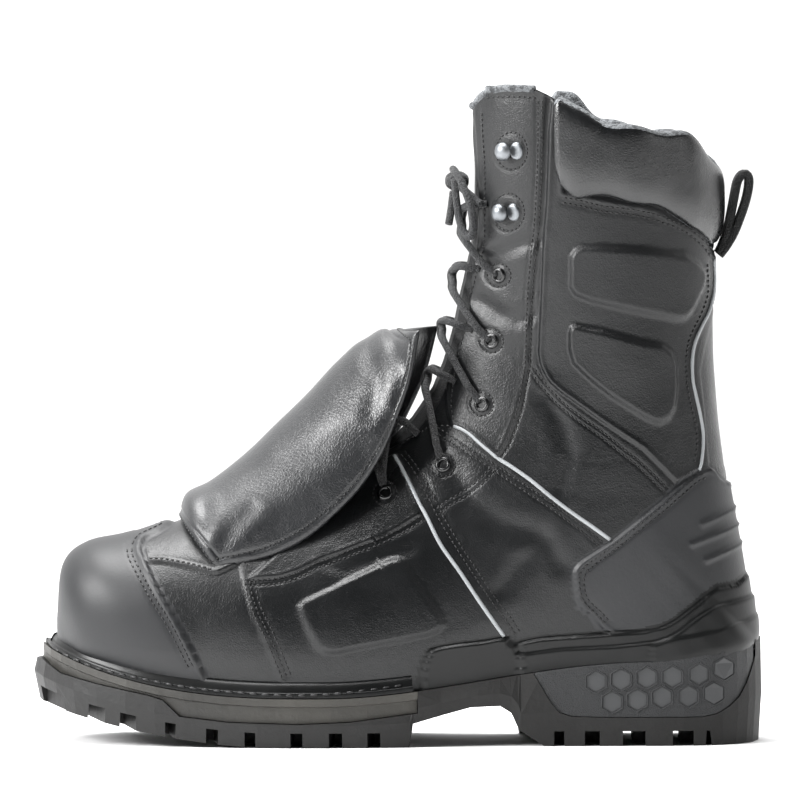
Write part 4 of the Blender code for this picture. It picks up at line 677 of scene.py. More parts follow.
SEAM_TABLE = (
    # points of a seam, and the sideways places of its rows
    # cap rear
    (((-116.1, 85.6), (-115.7, 82.5), (-113.0, 77.7), (-108.7, 70.2), (-104.3, 62.8), (-99.9, 56.2),
      (-95.5, 48.3), (-91.1, 39.5), (-88.9, 35.1)), (0.0, 2.0)),
    # cap top
    (((-99.0, 97.9), (-104.3, 94.8), (-110.4, 92.2), (-114.4, 90.0), (-116.1, 86.5)), (0.0,)),
    # wing low
    (((-108.7, 81.2), (-102.1, 81.2), (-95.5, 80.3), (-86.7, 78.6), (-80.6, 76.8)), (0.0,)),
    # quarter front
    (((-64.3, 72.4), (-63.0, 65.8), (-60.4, 58.4), (-56.9, 51.4), (-53.3, 43.5), (-50.3, 36.0),
      (-48.1, 30.7)), (0.0, 2.0, -2.0)),
    # facing low
    (((-63.9, 70.2), (-51.6, 71.1), (-42.8, 73.8), (-34.0, 78.1), (-25.2, 81.2), (-16.5, 84.7),
      (-7.7, 87.8), (1.1, 92.2), (11.6, 98.3)), (0.0, -2.2)),
    # facing top
    (((0.2, 128.6), (3.3, 131.7), (10.8, 135.7), (14.3, 138.3), (23.0, 138.7)), (0.0,)),
    # front piping
    (((1.1, 126.4), (5.5, 121.2), (9.9, 114.6), (14.3, 106.2), (17.3, 100.1), (23.0, 90.4), (31.8, 76.8),
      (40.6, 63.7), (47.2, 54.9), (51.6, 48.3)), (0.0, -2.2)),
    # middle piping
    (((15.6, 136.1), (23.0, 132.1), (31.8, 126.4), (40.6, 120.7), (53.8, 111.9), (62.6, 106.2),
      (71.3, 100.1), (80.1, 93.5), (88.0, 86.9)), (0.0, -2.2)),
    # eyestay front
    (((36.7, 275.7), (37.1, 265.6), (38.0, 250.2), (38.0, 228.3), (37.5, 216.4), (35.8, 209.8),
      (34.0, 203.3), (32.3, 196.7), (30.9, 192.3), (30.1, 183.5), (27.9, 174.7), (25.7, 163.7),
      (24.4, 157.2), (23.5, 148.4), (24.4, 141.4)), (0.0,)),
    # eyestay top
    (((38.0, 281.8), (42.8, 282.3), (51.6, 282.3), (60.4, 281.8)), (0.0,)),
    # eyestay rear
    (((60.8, 281.0), (60.8, 259.0), (60.4, 245.8), (59.5, 228.3), (58.6, 219.5), (57.3, 206.3),
      (56.4, 193.2), (55.5, 166.8), (54.2, 158.0), (52.9, 149.3), (50.3, 140.5), (46.8, 131.7),
      (43.2, 126.4)), (0.0, -2.0)),
    # shaft low
    (((59.5, 164.2), (64.8, 157.2), (71.3, 150.1), (80.1, 143.1), (88.9, 137.0), (97.7, 129.9),
      (106.5, 122.9), (117.0, 112.4)), (0.0, 2.2)),
    # lower facing
    (((40.6, 121.6), (36.2, 116.3), (27.4, 109.8), (20.9, 106.2), (16.9, 102.7)), (0.0, -2.2)),
    # collar low
    (((71.3, 236.6), (80.1, 234.9), (88.9, 232.7), (99.9, 231.4), (110.8, 229.2), (124.0, 224.3),
      (132.8, 217.7), (137.2, 212.5)), (0.0, -2.2)),
    # counter
    (((92.0, 54.4), (88.0, 58.8), (83.6, 62.8), (81.9, 65.8), (81.0, 71.1), (81.4, 74.6), (84.5, 78.1),
      (94.2, 85.2), (106.5, 94.8), (116.1, 102.3), (124.9, 109.8), (131.5, 115.0), (135.0, 116.3)),
     (0.0, -2.0)),
    # shaft rear
    (((135.4, 209.8), (135.9, 197.6), (134.1, 191.0), (131.5, 185.3), (128.0, 178.7), (126.2, 172.1),
      (125.8, 164.6), (126.2, 157.2), (127.5, 150.1), (129.3, 143.1), (130.6, 136.1), (130.6, 129.5),
      (129.3, 122.9)), (0.0,)),
)
print("panel edges", len(EDGES), "lines", len(LINES), "seams", len(SEAM_TABLE))

# %% [markdown]
# Two measures turn the pattern into relief: the distance to a line, and the distance into a panel. Both
# work on whole arrays of points, which keeps a fine mesh quick to make.

# %% Distances in the side view
def distance(line, x, z):
    """Distance of each point to an open line."""
    best = np.full(x.shape, 1.0)
    for (ax, az), (bx, bz) in zip(line[:-1], line[1:]):
        ux, uz = bx - ax, bz - az
        t = np.clip(((x - ax) * ux + (z - az) * uz) / max(ux * ux + uz * uz, 1e-12), 0, 1)
        best = np.minimum(best, np.hypot(x - ax - t * ux, z - az - t * uz))
    return best


def inside(edge, x, z):
    """Signed distance into a closed edge, positive inside."""
    within = np.zeros(x.shape, bool)
    closed = np.concatenate([edge, edge[:1]])
    for (ax, az), (bx, bz) in zip(closed[:-1], closed[1:]):
        if az != bz:
            crosses = ((az > z) != (bz > z)) & (x < ax + (z - az) * (bx - ax) / (bz - az))
            within ^= crosses
    return np.where(within, 1, -1) * distance(closed, x, z)


def shifted(line, off):
    """The line moved sideways in the side view."""
    run = np.gradient(line, axis=0)
    run /= np.linalg.norm(run, axis=1)[:, None]
    return line + np.stack([run[:, 1], -run[:, 0]], 1) * off


def even_points(line, pitch):
    """Points along a line, about a pitch apart."""
    return spread(line, max(2, int(round(way_along(line)[-1] / pitch)) + 1))


def rounded(line, steps=6):
    """A smooth line through the points of a short one."""
    s = np.linspace(0, len(line) - 1, (len(line) - 1) * steps + 1)
    return np.stack([spline(line[:, k], s) for k in range(line.shape[1])], 1)


# %% Seams
STITCH_PITCH = 2.3 * MM
SEAMS = []
for points, places in SEAM_TABLE:
    for place in places:
        SEAMS.append(shifted(rounded(side_view(points)), place * MM))
print("seam rows", len(SEAMS))

# %% [markdown]
# The relief. A turned edge on real leather is a step with a small roll at its rim, and a row of stitches
# pulls a shallow groove. An embossed pad is a panel with foam behind it, so it rises over a short slope and
# stays nearly level. Creases are broad, low troughs across the bend of the ankle.

# %% Relief of the upper
STEP_WIDTH = 1.0 * MM
GROOVE_DEPTH = 0.28 * MM    # of a stitch row
GROOVE_HALF = 0.7 * MM
RIB_HEIGHT = 0.9 * MM       # of the three ribs on the heel
RIB_HALF = 1.0 * MM
PANELS = (
    # edge, height, width of its slope, height of the roll at its rim
    ("quarter", 0.6 * MM, STEP_WIDTH, 0.5 * MM),
    ("facing", 0.9 * MM, STEP_WIDTH, 0.15 * MM),
    ("shaft_panel", 0.9 * MM, STEP_WIDTH, 0.4 * MM),
    ("eyestay", 0.95 * MM, STEP_WIDTH, 0.3 * MM),
    ("vamp_pad", 1.6 * MM, 3.4 * MM, 0.0),
    ("shaft_pad_high", 2.0 * MM, 3.2 * MM, 0.1 * MM),
    ("shaft_pad_low", 2.0 * MM, 3.2 * MM, 0.1 * MM),
    ("guard_wing", 0.9 * MM, STEP_WIDTH, 0.5 * MM),
    ("toe_cap", 1.9 * MM, STEP_WIDTH, 0.7 * MM),
    ("backstay", -0.3 * MM, STEP_WIDTH, 0.0),
    ("counter", 1.9 * MM, 1.4 * MM, 0.5 * MM),
    ("cup", 3.0 * MM, 1.6 * MM, 0.0),
    ("cup_low", 1.1 * MM, 1.4 * MM, 0.0),
    ("cup_back", 0.7 * MM, 1.4 * MM, 0.0),
    ("waist_wing", 2.6 * MM, 1.6 * MM, 0.0),
)
CREASES = (
    # line, depth, half width
    ("crease_1", 0.9 * MM, 3.0 * MM),
    ("crease_2", 0.8 * MM, 3.4 * MM),
    ("crease_3", 0.7 * MM, 4.0 * MM),
    ("crease_4", 0.7 * MM, 4.5 * MM),
    ("crease_5", 0.6 * MM, 4.0 * MM),
    ("crease_6", 0.6 * MM, 3.0 * MM),
)
# Stitched rounds: place along and up, shift along, half width and half height
FITTINGS = [(along(share), up * HEIGHT, 0.0, 5.2 * MM, 5.2 * MM) for share, up in EYELETS]
FITTINGS += [(along(share), up * HEIGHT, 1.9 * MM, 6.8 * MM, 8.2 * MM) for share, up in HOOKS]


def relief(x, z):
    """Height over the bare form, and the depth inside each panel."""
    height = np.zeros(x.shape)
    depth = {}
    for name, rise, width, roll in PANELS:
        depth[name] = inside(EDGES[name], x, z)
        lift = rise * smooth(depth[name] / width + 0.5)
        if name.startswith("cup"):
            raised = np.maximum(height, lift) if name == "cup" else height + lift
            height = np.where(depth[name] > -width / 2, raised, height)
        elif name in ("counter", "toe_cap"):
            height = height * (1 - smooth(depth[name] / width + 0.5)) + lift
        elif name == "waist_wing":
            height = np.maximum(height, lift)
        else:
            height = height + lift
        height = height + roll * np.exp(-((depth[name] - 1.1 * MM) / (0.9 * MM)) ** 2)
        height = height - 0.45 * roll * np.exp(-((depth[name] + 0.9 * MM) / (0.5 * MM)) ** 2)
    for name, low, half in CREASES:
        gap = distance(LINES[name], x, z)
        height = height - low * np.exp(-(gap / half) ** 2)
        height = height + 0.35 * low * np.exp(-((gap - 1.9 * half) / half) ** 2)
    for name in RIBS:
        height = height + RIB_HEIGHT * np.exp(-(distance(LINES[name], x, z) / RIB_HALF) ** 2)
    for line in SEAMS:
        height = height - GROOVE_DEPTH * np.exp(-(distance(line, x, z) / GROOVE_HALF) ** 2)
    for ex, ez, off, wide, tall in FITTINGS:
        away = np.hypot((x - ex - off) / wide, (z - ez) / tall)
        height = height - GROOVE_DEPTH * np.exp(-((away - 1) * wide / GROOVE_HALF) ** 2)
        height = height + 0.25 * MM * smooth((1 - away) * wide / (1.5 * MM))
    height = height + 0.14 * MM * np.sin(x * 95 + 2 * np.sin(z * 60)) * np.sin(z * 80 + 1.3)
    return height, depth


# %% [markdown]
# Each side of the upper is one fine grid, from the sole line to the ridge of the foot or the edge of the
# throat. The grid is cut into the real pieces afterwards: the leather, the toe cap, the counter and the
# moulded rubber. A grid is used instead of cut solids because the relief needs points about 1 mm apart.

# %% Grid of the upper
ROW_STEP = 0.055            # in section numbers
COLUMNS = 235
RAY_START = 0.2             # rays at the boot start this far to its side
THROAT_TOP_ROW = 18         # sections above this one are cut at the top line
SKIN_ROWS = np.arange(0.35, LAST + 0.001, ROW_STEP)


def section_line(s, side):
    """One side of a section, up to the ridge or the edge of the throat."""
    line = half_section(s, side, 481)
    half = np.interp(s, *zip(*THROAT_SECTIONS)) * THROAT_HALF if s > THROAT_SECTIONS[0][0] else 0.0
    if half > 0.4 * MM:
        far = side * (line[:, 1] - line[-1, 1]) < half
        far[: int(np.argmax(side * line[:, 1]))] = False
        if far.any():
            line = line[: max(int(np.argmax(far)), 8)]
    return spread(line, COLUMNS)


def unit(field):
    """The same arrows, each of length one."""
    return field / np.maximum(np.linalg.norm(field, axis=-1), 1e-12)[..., None]


def skin_grid(side):
    grid = np.array([section_line(s, side) for s in SKIN_ROWS])
    down = np.gradient(grid, axis=0)
    across = np.gradient(grid, axis=1)
    normal = unit(np.cross(down, across) * -side)
    closed = SKIN_ROWS < THROAT_SECTIONS[0][0]
    normal[closed, -1, 1] = 0
    normal[SKIN_ROWS >= CORNER, 0, 1] = 0
    normal = unit(normal)
    near_corner = np.exp(-((SKIN_ROWS[1:-1] - CORNER) / 0.6) ** 2)[:, None, None]
    for _ in range(40):
        for field in (grid, normal):
            field[1:-1] += near_corner * ((field[:-2] + field[2:]) / 2 - field[1:-1]) * 0.6
    return grid, unit(normal)


def mesh_object(name, verts, faces, smooth_shaded=True):
    mesh = bpy.data.meshes.new(name)
    mesh.from_pydata([tuple(map(float, v)) for v in verts], [], [tuple(map(int, f)) for f in faces])
    mesh.validate()
    mesh.update()
    made = bpy.data.objects.new(name, mesh)
    bpy.context.scene.collection.objects.link(made)
    if smooth_shaded:
        mesh.polygons.foreach_set("use_smooth", [True] * len(mesh.polygons))
    return made


def grid_faces(rows, columns, turn):
    a = (np.arange(rows - 1)[:, None] * columns + np.arange(columns - 1)[None]).ravel()
    quad = np.stack([a, a + 1, a + 1 + columns, a + columns], 1)
    return quad[:, ::-1] if turn else quad


def ring_faces(rows, sides):
    """Faces between closed rings of points."""
    return [(i * sides + j, i * sides + k, (i + 1) * sides + k, (i + 1) * sides + j)
            for i in range(rows - 1) for j, k in zip(range(sides), [*range(1, sides), 0])]


def end_faces(rows, sides):
    """The two faces that close a row of rings."""
    return [tuple(range(sides))[::-1], tuple((rows - 1) * sides + j for j in range(sides))]


def tidy_mesh(obj, merge=0.02 * MM):
    """Joins points that meet and drops the loose ones."""
    bm = bmesh.new()
    bm.from_mesh(obj.data)
    bmesh.ops.remove_doubles(bm, verts=bm.verts, dist=merge)
    loose = [v for v in bm.verts if not v.link_faces]
    bmesh.ops.delete(bm, geom=loose, context="VERTS")
    bm.to_mesh(obj.data)
    bm.free()
    return obj


def face_outward(obj):
    bm = bmesh.new()
    bm.from_mesh(obj.data)
    bmesh.ops.recalc_face_normals(bm, faces=bm.faces)
    bm.to_mesh(obj.data)
    bm.free()
    return obj


def ray_tree(verts, faces):
    return BVHTree.FromPolygons([tuple(v) for v in verts], [tuple(f) for f in faces])


def side_hit(tree, x, z, side):
    """First place that a sideways ray meets, and the direction of the surface there, or None twice."""
    return tree.ray_cast(Vector((x, side * RAY_START, z)), Vector((0, -side, 0)))[:2]


CUT_PLACE = -0.9 * MM       # a piece is cut this far outside its drawn edge


def on_cut(grid, normal, edge):
    """Moves the points nearest to a panel's cut line onto it, along the surface."""
    x, z = grid[..., 0], grid[..., 2]
    step = 0.2 * MM
    miss = inside(edge, x, z) - CUT_PLACE
    spacing = np.maximum(np.abs(np.gradient(miss, axis=0)), np.abs(np.gradient(miss, axis=1)))
    near = np.abs(miss) < 0.5 * np.minimum(spacing, 1.6 * MM)
    slope_x = (inside(edge, x[near] + step, z[near]) - inside(edge, x[near] - step, z[near])) / (2 * step)
    slope_z = (inside(edge, x[near], z[near] + step) - inside(edge, x[near], z[near] - step)) / (2 * step)
    way = np.stack([slope_x, np.zeros_like(slope_x), slope_z], 1)
    way -= normal[near] * (way * normal[near]).sum(1)[:, None]
    reach = np.maximum(way[:, 0] * slope_x + way[:, 2] * slope_z, 0.3)
    grid[near] -= way * (miss[near] / reach)[:, None]


THROAT_EDGE = WALL + 1.2 * MM       # the turned edge of the throat goes in this far
WALL_SIDES = {}
shift = np.array([0.0, CENTRE_SHIFT, 0.0])
SKIN_PIECES = ("leather", "cap", "counter", "cup")
ZONES = (("cup", "cup"), ("cup", "waist_wing"), ("counter", "counter"), ("cap", "toe_cap"))
skins = {}
for side, word in ((-1, "outer"), (1, "inner")):
    grid, normal = skin_grid(side)
    for piece, edge in ZONES:
        on_cut(grid, normal, EDGES[edge])
    x, z = grid[..., 0], grid[..., 2]
    limit = np.where(SKIN_ROWS[:, None] > THROAT_TOP_ROW, table(UPPER_TOP, x) * HEIGHT, 1.0)
    rise, depth = relief(x, z)
    surface = grid + normal * rise[..., None] + shift
    surface[..., 2] = np.minimum(surface[..., 2], limit)
    rim = surface[:, -1:] - normal[:, -1:] * THROAT_EDGE
    surface = np.concatenate([surface, rim], 1)
    rows, columns = surface.shape[:2]
    faces = grid_faces(rows, columns, side > 0)
    zone = np.zeros((rows, columns), int)
    for piece, edge in ZONES:
        part = np.concatenate([depth[edge], depth[edge][:, -1:]], 1) > CUT_PLACE - 0.1 * MM
        zone[part & (zone == 0)] = SKIN_PIECES.index(piece)
    kind = zone.ravel()[faces].max(1)
    for number, piece in enumerate(SKIN_PIECES):
        chosen = faces[kind == number]
        if len(chosen):
            made = mesh_object("%s_%s" % (piece, word), surface.reshape(-1, 3), chosen)
            skins[piece, word] = tidy_mesh(made)
    inner = grid - normal * WALL + shift
    inner[..., 2] = np.minimum(inner[..., 2], limit)
    inner = inner[::4, ::4]
    lining = mesh_object("lining_" + word, inner.reshape(-1, 3), grid_faces(*inner.shape[:2], side < 0))
    skins["lining", word] = tidy_mesh(lining)
    WALL_SIDES[word] = ray_tree(surface.reshape(-1, 3), faces)
    print(word, "skin", len(faces), "faces")


def on_skin(x, z, word):
    """Place and outward direction of the finished surface, seen at x, z from the side."""
    side = -1 if word == "outer" else 1
    place, normal = side_hit(WALL_SIDES[word], x, z, side)
    if place is None:
        return None
    out = np.array(normal)
    return np.array(place), -out if out[1] * side < 0 else out


# %% [markdown]
# The guard is a thick padded leather flap that hangs over the laces. Its crest and its edges are tables of
# their own. It gets a rounded rim, one stitch row inside the rim, and soft folds where it bends.

# %% Metatarsal guard
GUARD_ROWS = 170
GUARD_HALF = 90


def guard_form(rows, half):
    number = len(GUARD_SECTIONS) - 1
    angles = np.linspace(0, math.pi / 2, half)
    grid = []
    for s in np.linspace(0, number, rows):
        cx, cz, ex, ez, wide, lean, full = [spline([row[k] for row in GUARD_SECTIONS], s) for k in range(7)]
        middle = 0.030 * (1 - s / number) * BALL_WIDTH
        crest = np.array([along(cx), middle, cz * HEIGHT])
        halves = []
        for side, extra in ((-1, 0.0), (1, lean)):
            edge = np.array([along(ex + extra), side * wide * BALL_WIDTH + middle * 0.6, ez * HEIGHT])
            h = np.sin(angles) ** (2 / full)
            w = np.clip(np.cos(angles), 0, 1) ** (2 / full)
            line = np.stack([edge[0] + (crest[0] - edge[0]) * h, crest[1] + (edge[1] - crest[1]) * w,
                             edge[2] + (crest[2] - edge[2]) * h], 1)
            halves.append(spread(line, half))
        grid.append(np.concatenate([halves[0], halves[1][::-1][1:]]))
    grid = np.array(grid)
    return grid, unit(np.cross(np.gradient(grid, axis=0), np.gradient(grid, axis=1)))


guard, guard_out = guard_form(GUARD_ROWS, GUARD_HALF)
steps_across = np.linalg.norm(np.diff(guard, axis=1), axis=2)
way = np.concatenate([np.zeros((GUARD_ROWS, 1)), np.cumsum(steps_across, axis=1)], 1)
from_sides = np.minimum(way, way[:, -1:] - way)
steps_down = np.linalg.norm(np.diff(guard, axis=0), axis=2)
way = np.concatenate([np.zeros((1, guard.shape[1])), np.cumsum(steps_down, axis=0)], 0)
from_ends = np.minimum(way, way[-1:] - way)
from_rim = np.minimum(from_sides, from_ends)
GUARD_RIM = 3.0 * MM
GUARD_SEAM = 4.6 * MM       # the stitch row lies this far inside the rim
GUARD_FOLDS = (
    # line, depth, half width
    ("guard_fold_1", 0.40 * MM, 3.6 * MM),
    ("guard_fold_2", 0.35 * MM, 4.5 * MM),
    ("guard_fold_3", 0.45 * MM, 3.4 * MM),
    ("guard_fold_4", 0.30 * MM, 3.0 * MM),
    ("guard_fold_5", 0.5 * MM, 3.0 * MM),
    ("guard_fold_6", 0.5 * MM, 6.0 * MM),
)
x, z = guard[..., 0], guard[..., 2]
rim_share = 1 - np.clip(from_rim / GUARD_RIM, 0, 1)
height = -GUARD_RIM * 0.55 * (1 - np.sqrt(np.clip(1 - rim_share ** 2, 0, 1)))
height -= 0.45 * MM * np.exp(-((from_rim - GUARD_SEAM) / GROOVE_HALF) ** 2)
for name, low, half in GUARD_FOLDS:
    gap = distance(LINES[name], x, z)
    trough = low * np.exp(-(gap / half) ** 2) - 0.5 * low * np.exp(-((gap - 1.9 * half) / half) ** 2)
    height -= trough * smooth(from_rim / (5 * MM))
height += 0.22 * MM * np.sin(x * 70 + z * 30) * np.sin(z * 90 - x * 40) * smooth(from_rim / (8 * MM))
guard_top = guard + guard_out * height[..., None] + shift
bump = np.sin(np.linspace(0, math.pi, GUARD_ROWS))[:, None] ** 0.6
bump = bump * np.sin(np.linspace(0, math.pi, guard.shape[1]))[None] ** 0.6
guard_low = guard - guard_out * (GUARD_EDGE + GUARD_PAD * bump)[..., None] + shift
edge_back = guard_low + guard_out * (1 - smooth(from_rim / GUARD_RIM))[..., None] * 0.6 * MM
count = guard_top.shape[1]
faces = grid_faces(GUARD_ROWS, count, False)
loop = ([(0, k) for k in range(count)] + [(r, count - 1) for r in range(1, GUARD_ROWS)]
        + [(GUARD_ROWS - 1, k) for k in range(count - 2, -1, -1)]
        + [(r, 0) for r in range(GUARD_ROWS - 2, 0, -1)])
total = GUARD_ROWS * count
loop = [r * count + c for r, c in loop]
rim = [(b, a, a + total, b + total) for a, b in zip(loop, loop[1:] + loop[:1])]
verts = np.concatenate([guard_top.reshape(-1, 3), edge_back.reshape(-1, 3)])
all_faces = [tuple(f) for f in faces] + [tuple(f + total) for f in faces[:, ::-1]] + rim
guard_piece = mesh_object("guard", verts, all_faces)
print("guard", len(all_faces), "faces")

# %% [markdown]
# Thread. Each stitch is a short rod with pointed ends, sunk a little in its groove. All stitches of one
# surface share one mesh, which is light and easy to export.

# %% Stitches
STITCH_RADIUS = 0.36 * MM
GAP_SHARE = 0.12            # of the pitch, at either end of a stitch
SIDES = 6


def stitch_mesh(name, places, radius=STITCH_RADIUS):
    """One rod for each (start, end, outward) row."""
    verts = []
    faces = []
    for start, end, out in places:
        run = end - start
        length = np.linalg.norm(run)
        if length < 1e-5:
            continue
        run = run / length
        across = np.cross(run, out)
        across /= max(np.linalg.norm(across), 1e-9)
        up = np.cross(across, run)
        base = len(verts)
        verts.append(start - up * radius * 0.5)
        for share in (0.22, 0.78):
            for k in range(SIDES):
                turn = 2 * math.pi * k / SIDES
                verts.append(start + run * length * share + across * math.cos(turn) * radius
                             + up * (math.sin(turn) + 0.35) * radius)
        verts.append(end - up * radius * 0.5)
        for k in range(SIDES):
            j = (k + 1) % SIDES
            faces.append((base, base + 1 + j, base + 1 + k))
            faces.append((base + 1 + k, base + 1 + j, base + 1 + SIDES + j, base + 1 + SIDES + k))
            faces.append((base + 1 + 2 * SIDES, base + 1 + SIDES + k, base + 1 + SIDES + j))
    return mesh_object(name, verts, faces)


def run_stitches(line, pitch, look_up):
    """Rods along a side view line, with a gap between them."""
    dots = even_points(line, pitch)
    rows = []
    for a, b in zip(dots[:-1], dots[1:]):
        first = look_up(*(a + (b - a) * GAP_SHARE))
        last = look_up(*(a + (b - a) * (1 - GAP_SHARE)))
        if first and last and np.linalg.norm(first[0] - last[0]) < 2.5 * pitch:
            rows.append((first[0], last[0], first[1]))
    return rows


stitch_pieces = []
for word in ("outer", "inner"):
    rows = []
    for line in SEAMS:
        rows += run_stitches(line, STITCH_PITCH, lambda x, z: on_skin(x, z, word))
    for ex, ez, off, wide, tall in FITTINGS:
        turn = np.linspace(0, 2 * math.pi, 49)
        ring = np.stack([ex + off + wide * np.cos(turn), ez + tall * np.sin(turn)], 1)
        rows += run_stitches(ring, 1.9 * MM, lambda x, z: on_skin(x, z, word))
    stitch_pieces.append(stitch_mesh("stitches_" + word, rows))
    print(word, "stitches", len(rows))


def seam_column(reach):
    """Column of the guard's seam, counted from one side."""
    return int(np.argmin(np.abs(reach[:GUARD_HALF] - GUARD_SEAM)))


SEAM_ROW = 6                # rows of the guard's grid between its end and the seam
outer_walk = [(r, seam_column(from_sides[r])) for r in range(SEAM_ROW, GUARD_ROWS - SEAM_ROW)]
inner_walk = [(r, count - 1 - seam_column(from_sides[r, ::-1])) for r, c in outer_walk]
low_walk = [(SEAM_ROW, c) for c in range(outer_walk[0][1], inner_walk[0][1])]
high_walk = [(GUARD_ROWS - SEAM_ROW - 1, c) for c in range(outer_walk[-1][1], inner_walk[-1][1])]
rows = []
for walk in (outer_walk, inner_walk, low_walk, high_walk):
    line = np.array([guard_top[r, c] for r, c in walk])
    outs = np.array([guard_out[r, c] for r, c in walk])
    way = way_along(line)
    stops = np.linspace(0, way[-1], max(2, int(way[-1] / STITCH_PITCH)))
    at, out_at = (np.stack([np.interp(stops, way, field[:, k]) for k in range(3)], 1)
                  for field in (line, outs))
    for a, b, out in zip(at[:-1], at[1:], out_at):
        rows.append((a + (b - a) * GAP_SHARE, a + (b - a) * (1 - GAP_SHARE), out))
stitch_pieces.append(stitch_mesh("stitches_guard", rows))
print("guard stitches", len(rows))

# %% [markdown]
# Piping is a thin cord of reflective tape folded into a seam. A tube that follows the finished surface
# shows it from any side.

# %% Piping and other tubes
def tube(name, points, radius, sides=8, flat=1.0, out=None, boxy=1.0):
    """Round, flattened or nearly rectangular tube through points, closed at both ends."""
    points = np.asarray(points, float)
    run = unit(np.gradient(points, axis=0))
    frame_up = np.array([0.0, 0.0, 1.0]) if abs(run[0][2]) < 0.9 else np.array([1.0, 0.0, 0.0])
    verts = []
    for k, (point, way) in enumerate(zip(points, run)):
        up = out[k] if out is not None else frame_up
        up = up - way * (up @ way)
        up /= max(np.linalg.norm(up), 1e-9)
        frame_up = up
        across = np.cross(way, up)
        for j in range(sides):
            turn = 2 * math.pi * j / sides
            wide = math.copysign(abs(math.cos(turn)) ** boxy, math.cos(turn))
            high = math.copysign(abs(math.sin(turn)) ** boxy, math.sin(turn))
            verts.append(point + across * wide * radius + up * high * radius * flat)
    rows = len(points)
    return mesh_object(name, verts, ring_faces(rows, sides) + end_faces(rows, sides))


def skin_line(name, word, pitch):
    """Places and outward directions along a line of the pattern."""
    found = [on_skin(x, z, word) for x, z in even_points(rounded(LINES[name]), pitch)]
    found = [row for row in found if row]
    return np.array([row[0] for row in found]), np.array([row[1] for row in found])


PIPING_RADIUS = 0.85 * MM
BINDING_RADIUS = 1.7 * MM
piping_pieces = []
for word in ("outer", "inner"):
    for name in ("piping_front", "piping_middle", "piping_back"):
        places, outs = skin_line(name, word, 1.5 * MM)
        places = places + outs * 0.15 * MM
        piping_pieces.append(tube("%s_%s" % (name, word), places, PIPING_RADIUS, 8, 0.75, outs))
binding_pieces = []
for word in ("outer", "inner"):
    places, outs = skin_line("top_binding", word, 1.2 * MM)
    places = places - outs * 1.0 * MM + np.array([0, 0, 0.2 * MM])
    binding_pieces.append(tube("top_binding_" + word, places, BINDING_RADIUS, 10, 1.0, outs))
print("piping", len(piping_pieces), "binding", len(binding_pieces))

# %% [markdown]
# The collar is foam under soft leather. Its section is a closed curve that swells outside and inside the
# wall, and it is carried round the leg. Its inner face and its top are the cloth of the lining.

# %% Collar
COLLAR_ROUND = 72
COLLAR_TURNS = 150
COLLAR_END = 0.597          # share of the way from the back to the throat
LINING_SHOWN = 1.9 * MM     # cloth seen over the leather, along the top
CLOTH_FROM, CLOTH_TO = 4.35, 10.3       # places round the profile where the cloth starts and ends
FAR_RISE = 6.4 * MM         # the inner side swells up near the throat
one_way = np.linspace(0, COLLAR_END, COLLAR_TURNS)
shares = np.concatenate([np.linspace(COLLAR_END, 0, COLLAR_TURNS), one_way[1:]])
sides = [-1] * COLLAR_TURNS + [1] * (COLLAR_TURNS - 1)
key_shares = np.linspace(0, COLLAR_END, 14)
key = {}
for side in (-1, 1):
    key[side] = np.array([collar_section(share, side) for share in key_shares])
    key[side][0] = collar_section(0.0, -1)
verts = []
turn = np.linspace(0, len(COLLAR_PROFILE), COLLAR_ROUND, endpoint=False)
for number, (share, side) in enumerate(zip(shares, sides)):
    place = share / COLLAR_END * (len(key_shares) - 1)
    points = np.array([[spline(key[side][:, j, k], place) for k in range(3)]
                       for j in range(len(COLLAR_PROFILE))])
    closed = np.concatenate([points[-2:], points, points[:3]])
    ring = np.stack([spline(closed[:, k], turn + 2) for k in range(3)], 1)
    centre = ring.mean(0)
    swell = 1 + 0.11 * math.sin(number * 0.115) * math.sin(number * 0.043 + 1)
    end = min(number, len(shares) - 1 - number) * 0.25
    pinch = 0.86 + 0.14 * min(1.0, end)
    rise = FAR_RISE * math.exp(-((share - 0.535) / 0.042) ** 2) if side > 0 else 0.0
    verts.append(centre + (ring - centre) * swell * pinch + np.array([0, 0, rise]))
verts = np.array(verts) + shift
n, m = verts.shape[:2]
faces = ring_faces(n, m) + end_faces(n, m)
collar = face_outward(mesh_object("collar_padding", verts.reshape(-1, 3), faces))
for polygon in collar.data.polygons[:-2]:
    around = turn[polygon.index % m]
    ring_top = verts[polygon.index // m, :, 2].max()
    over = polygon.center[2] > ring_top - LINING_SHOWN
    polygon.material_index = int(CLOTH_FROM < around < CLOTH_TO or over)
print("collar", len(faces), "faces")

# %% [markdown]
# The laces are round braided cord. Each crossing rises out of one eyelet, lies over the tongue and dips
# under the far edge of the throat, because a boot is laced through its eyelets from below. The last two
# crossings go to the hooks instead.

# %% Laces
LACE_STEP = 0.9 * MM


def lace_path(start, end, rise, under=True):
    """Crossing from eyelet to eyelet, that dips under the far edge or into the second eyelet."""
    points = []
    for t in np.linspace(0, 1, 41):
        s = start[0] + (end[0] - start[0]) * t
        y = start[1] + (end[1] - start[1]) * t
        past = math.copysign(1, end[1]) * y - np.interp(s, *zip(*THROAT_SECTIONS)) * THROAT_HALF
        if under and past > 3.5 * MM:
            break
        drop = 3.4 * MM * (1 - smooth((t if under else min(t, 1 - t)) / 0.06))
        if under:
            drop += 4.4 * MM * smooth((past + 1.5 * MM) / (4 * MM))
        points.append(over_ridge(s, y, lace_offset(s, y) + rise * math.sin(math.pi * t) - drop))
    return np.array(points) + shift


def holes(side, number):
    share, up = (EYELETS + HOOKS)[number]
    s, _, y = side_point(along(share), up * HEIGHT, side)
    return s, y


def lace(name, path):
    return tube(name, even_points(path, LACE_STEP), LACE_RADIUS, 12)


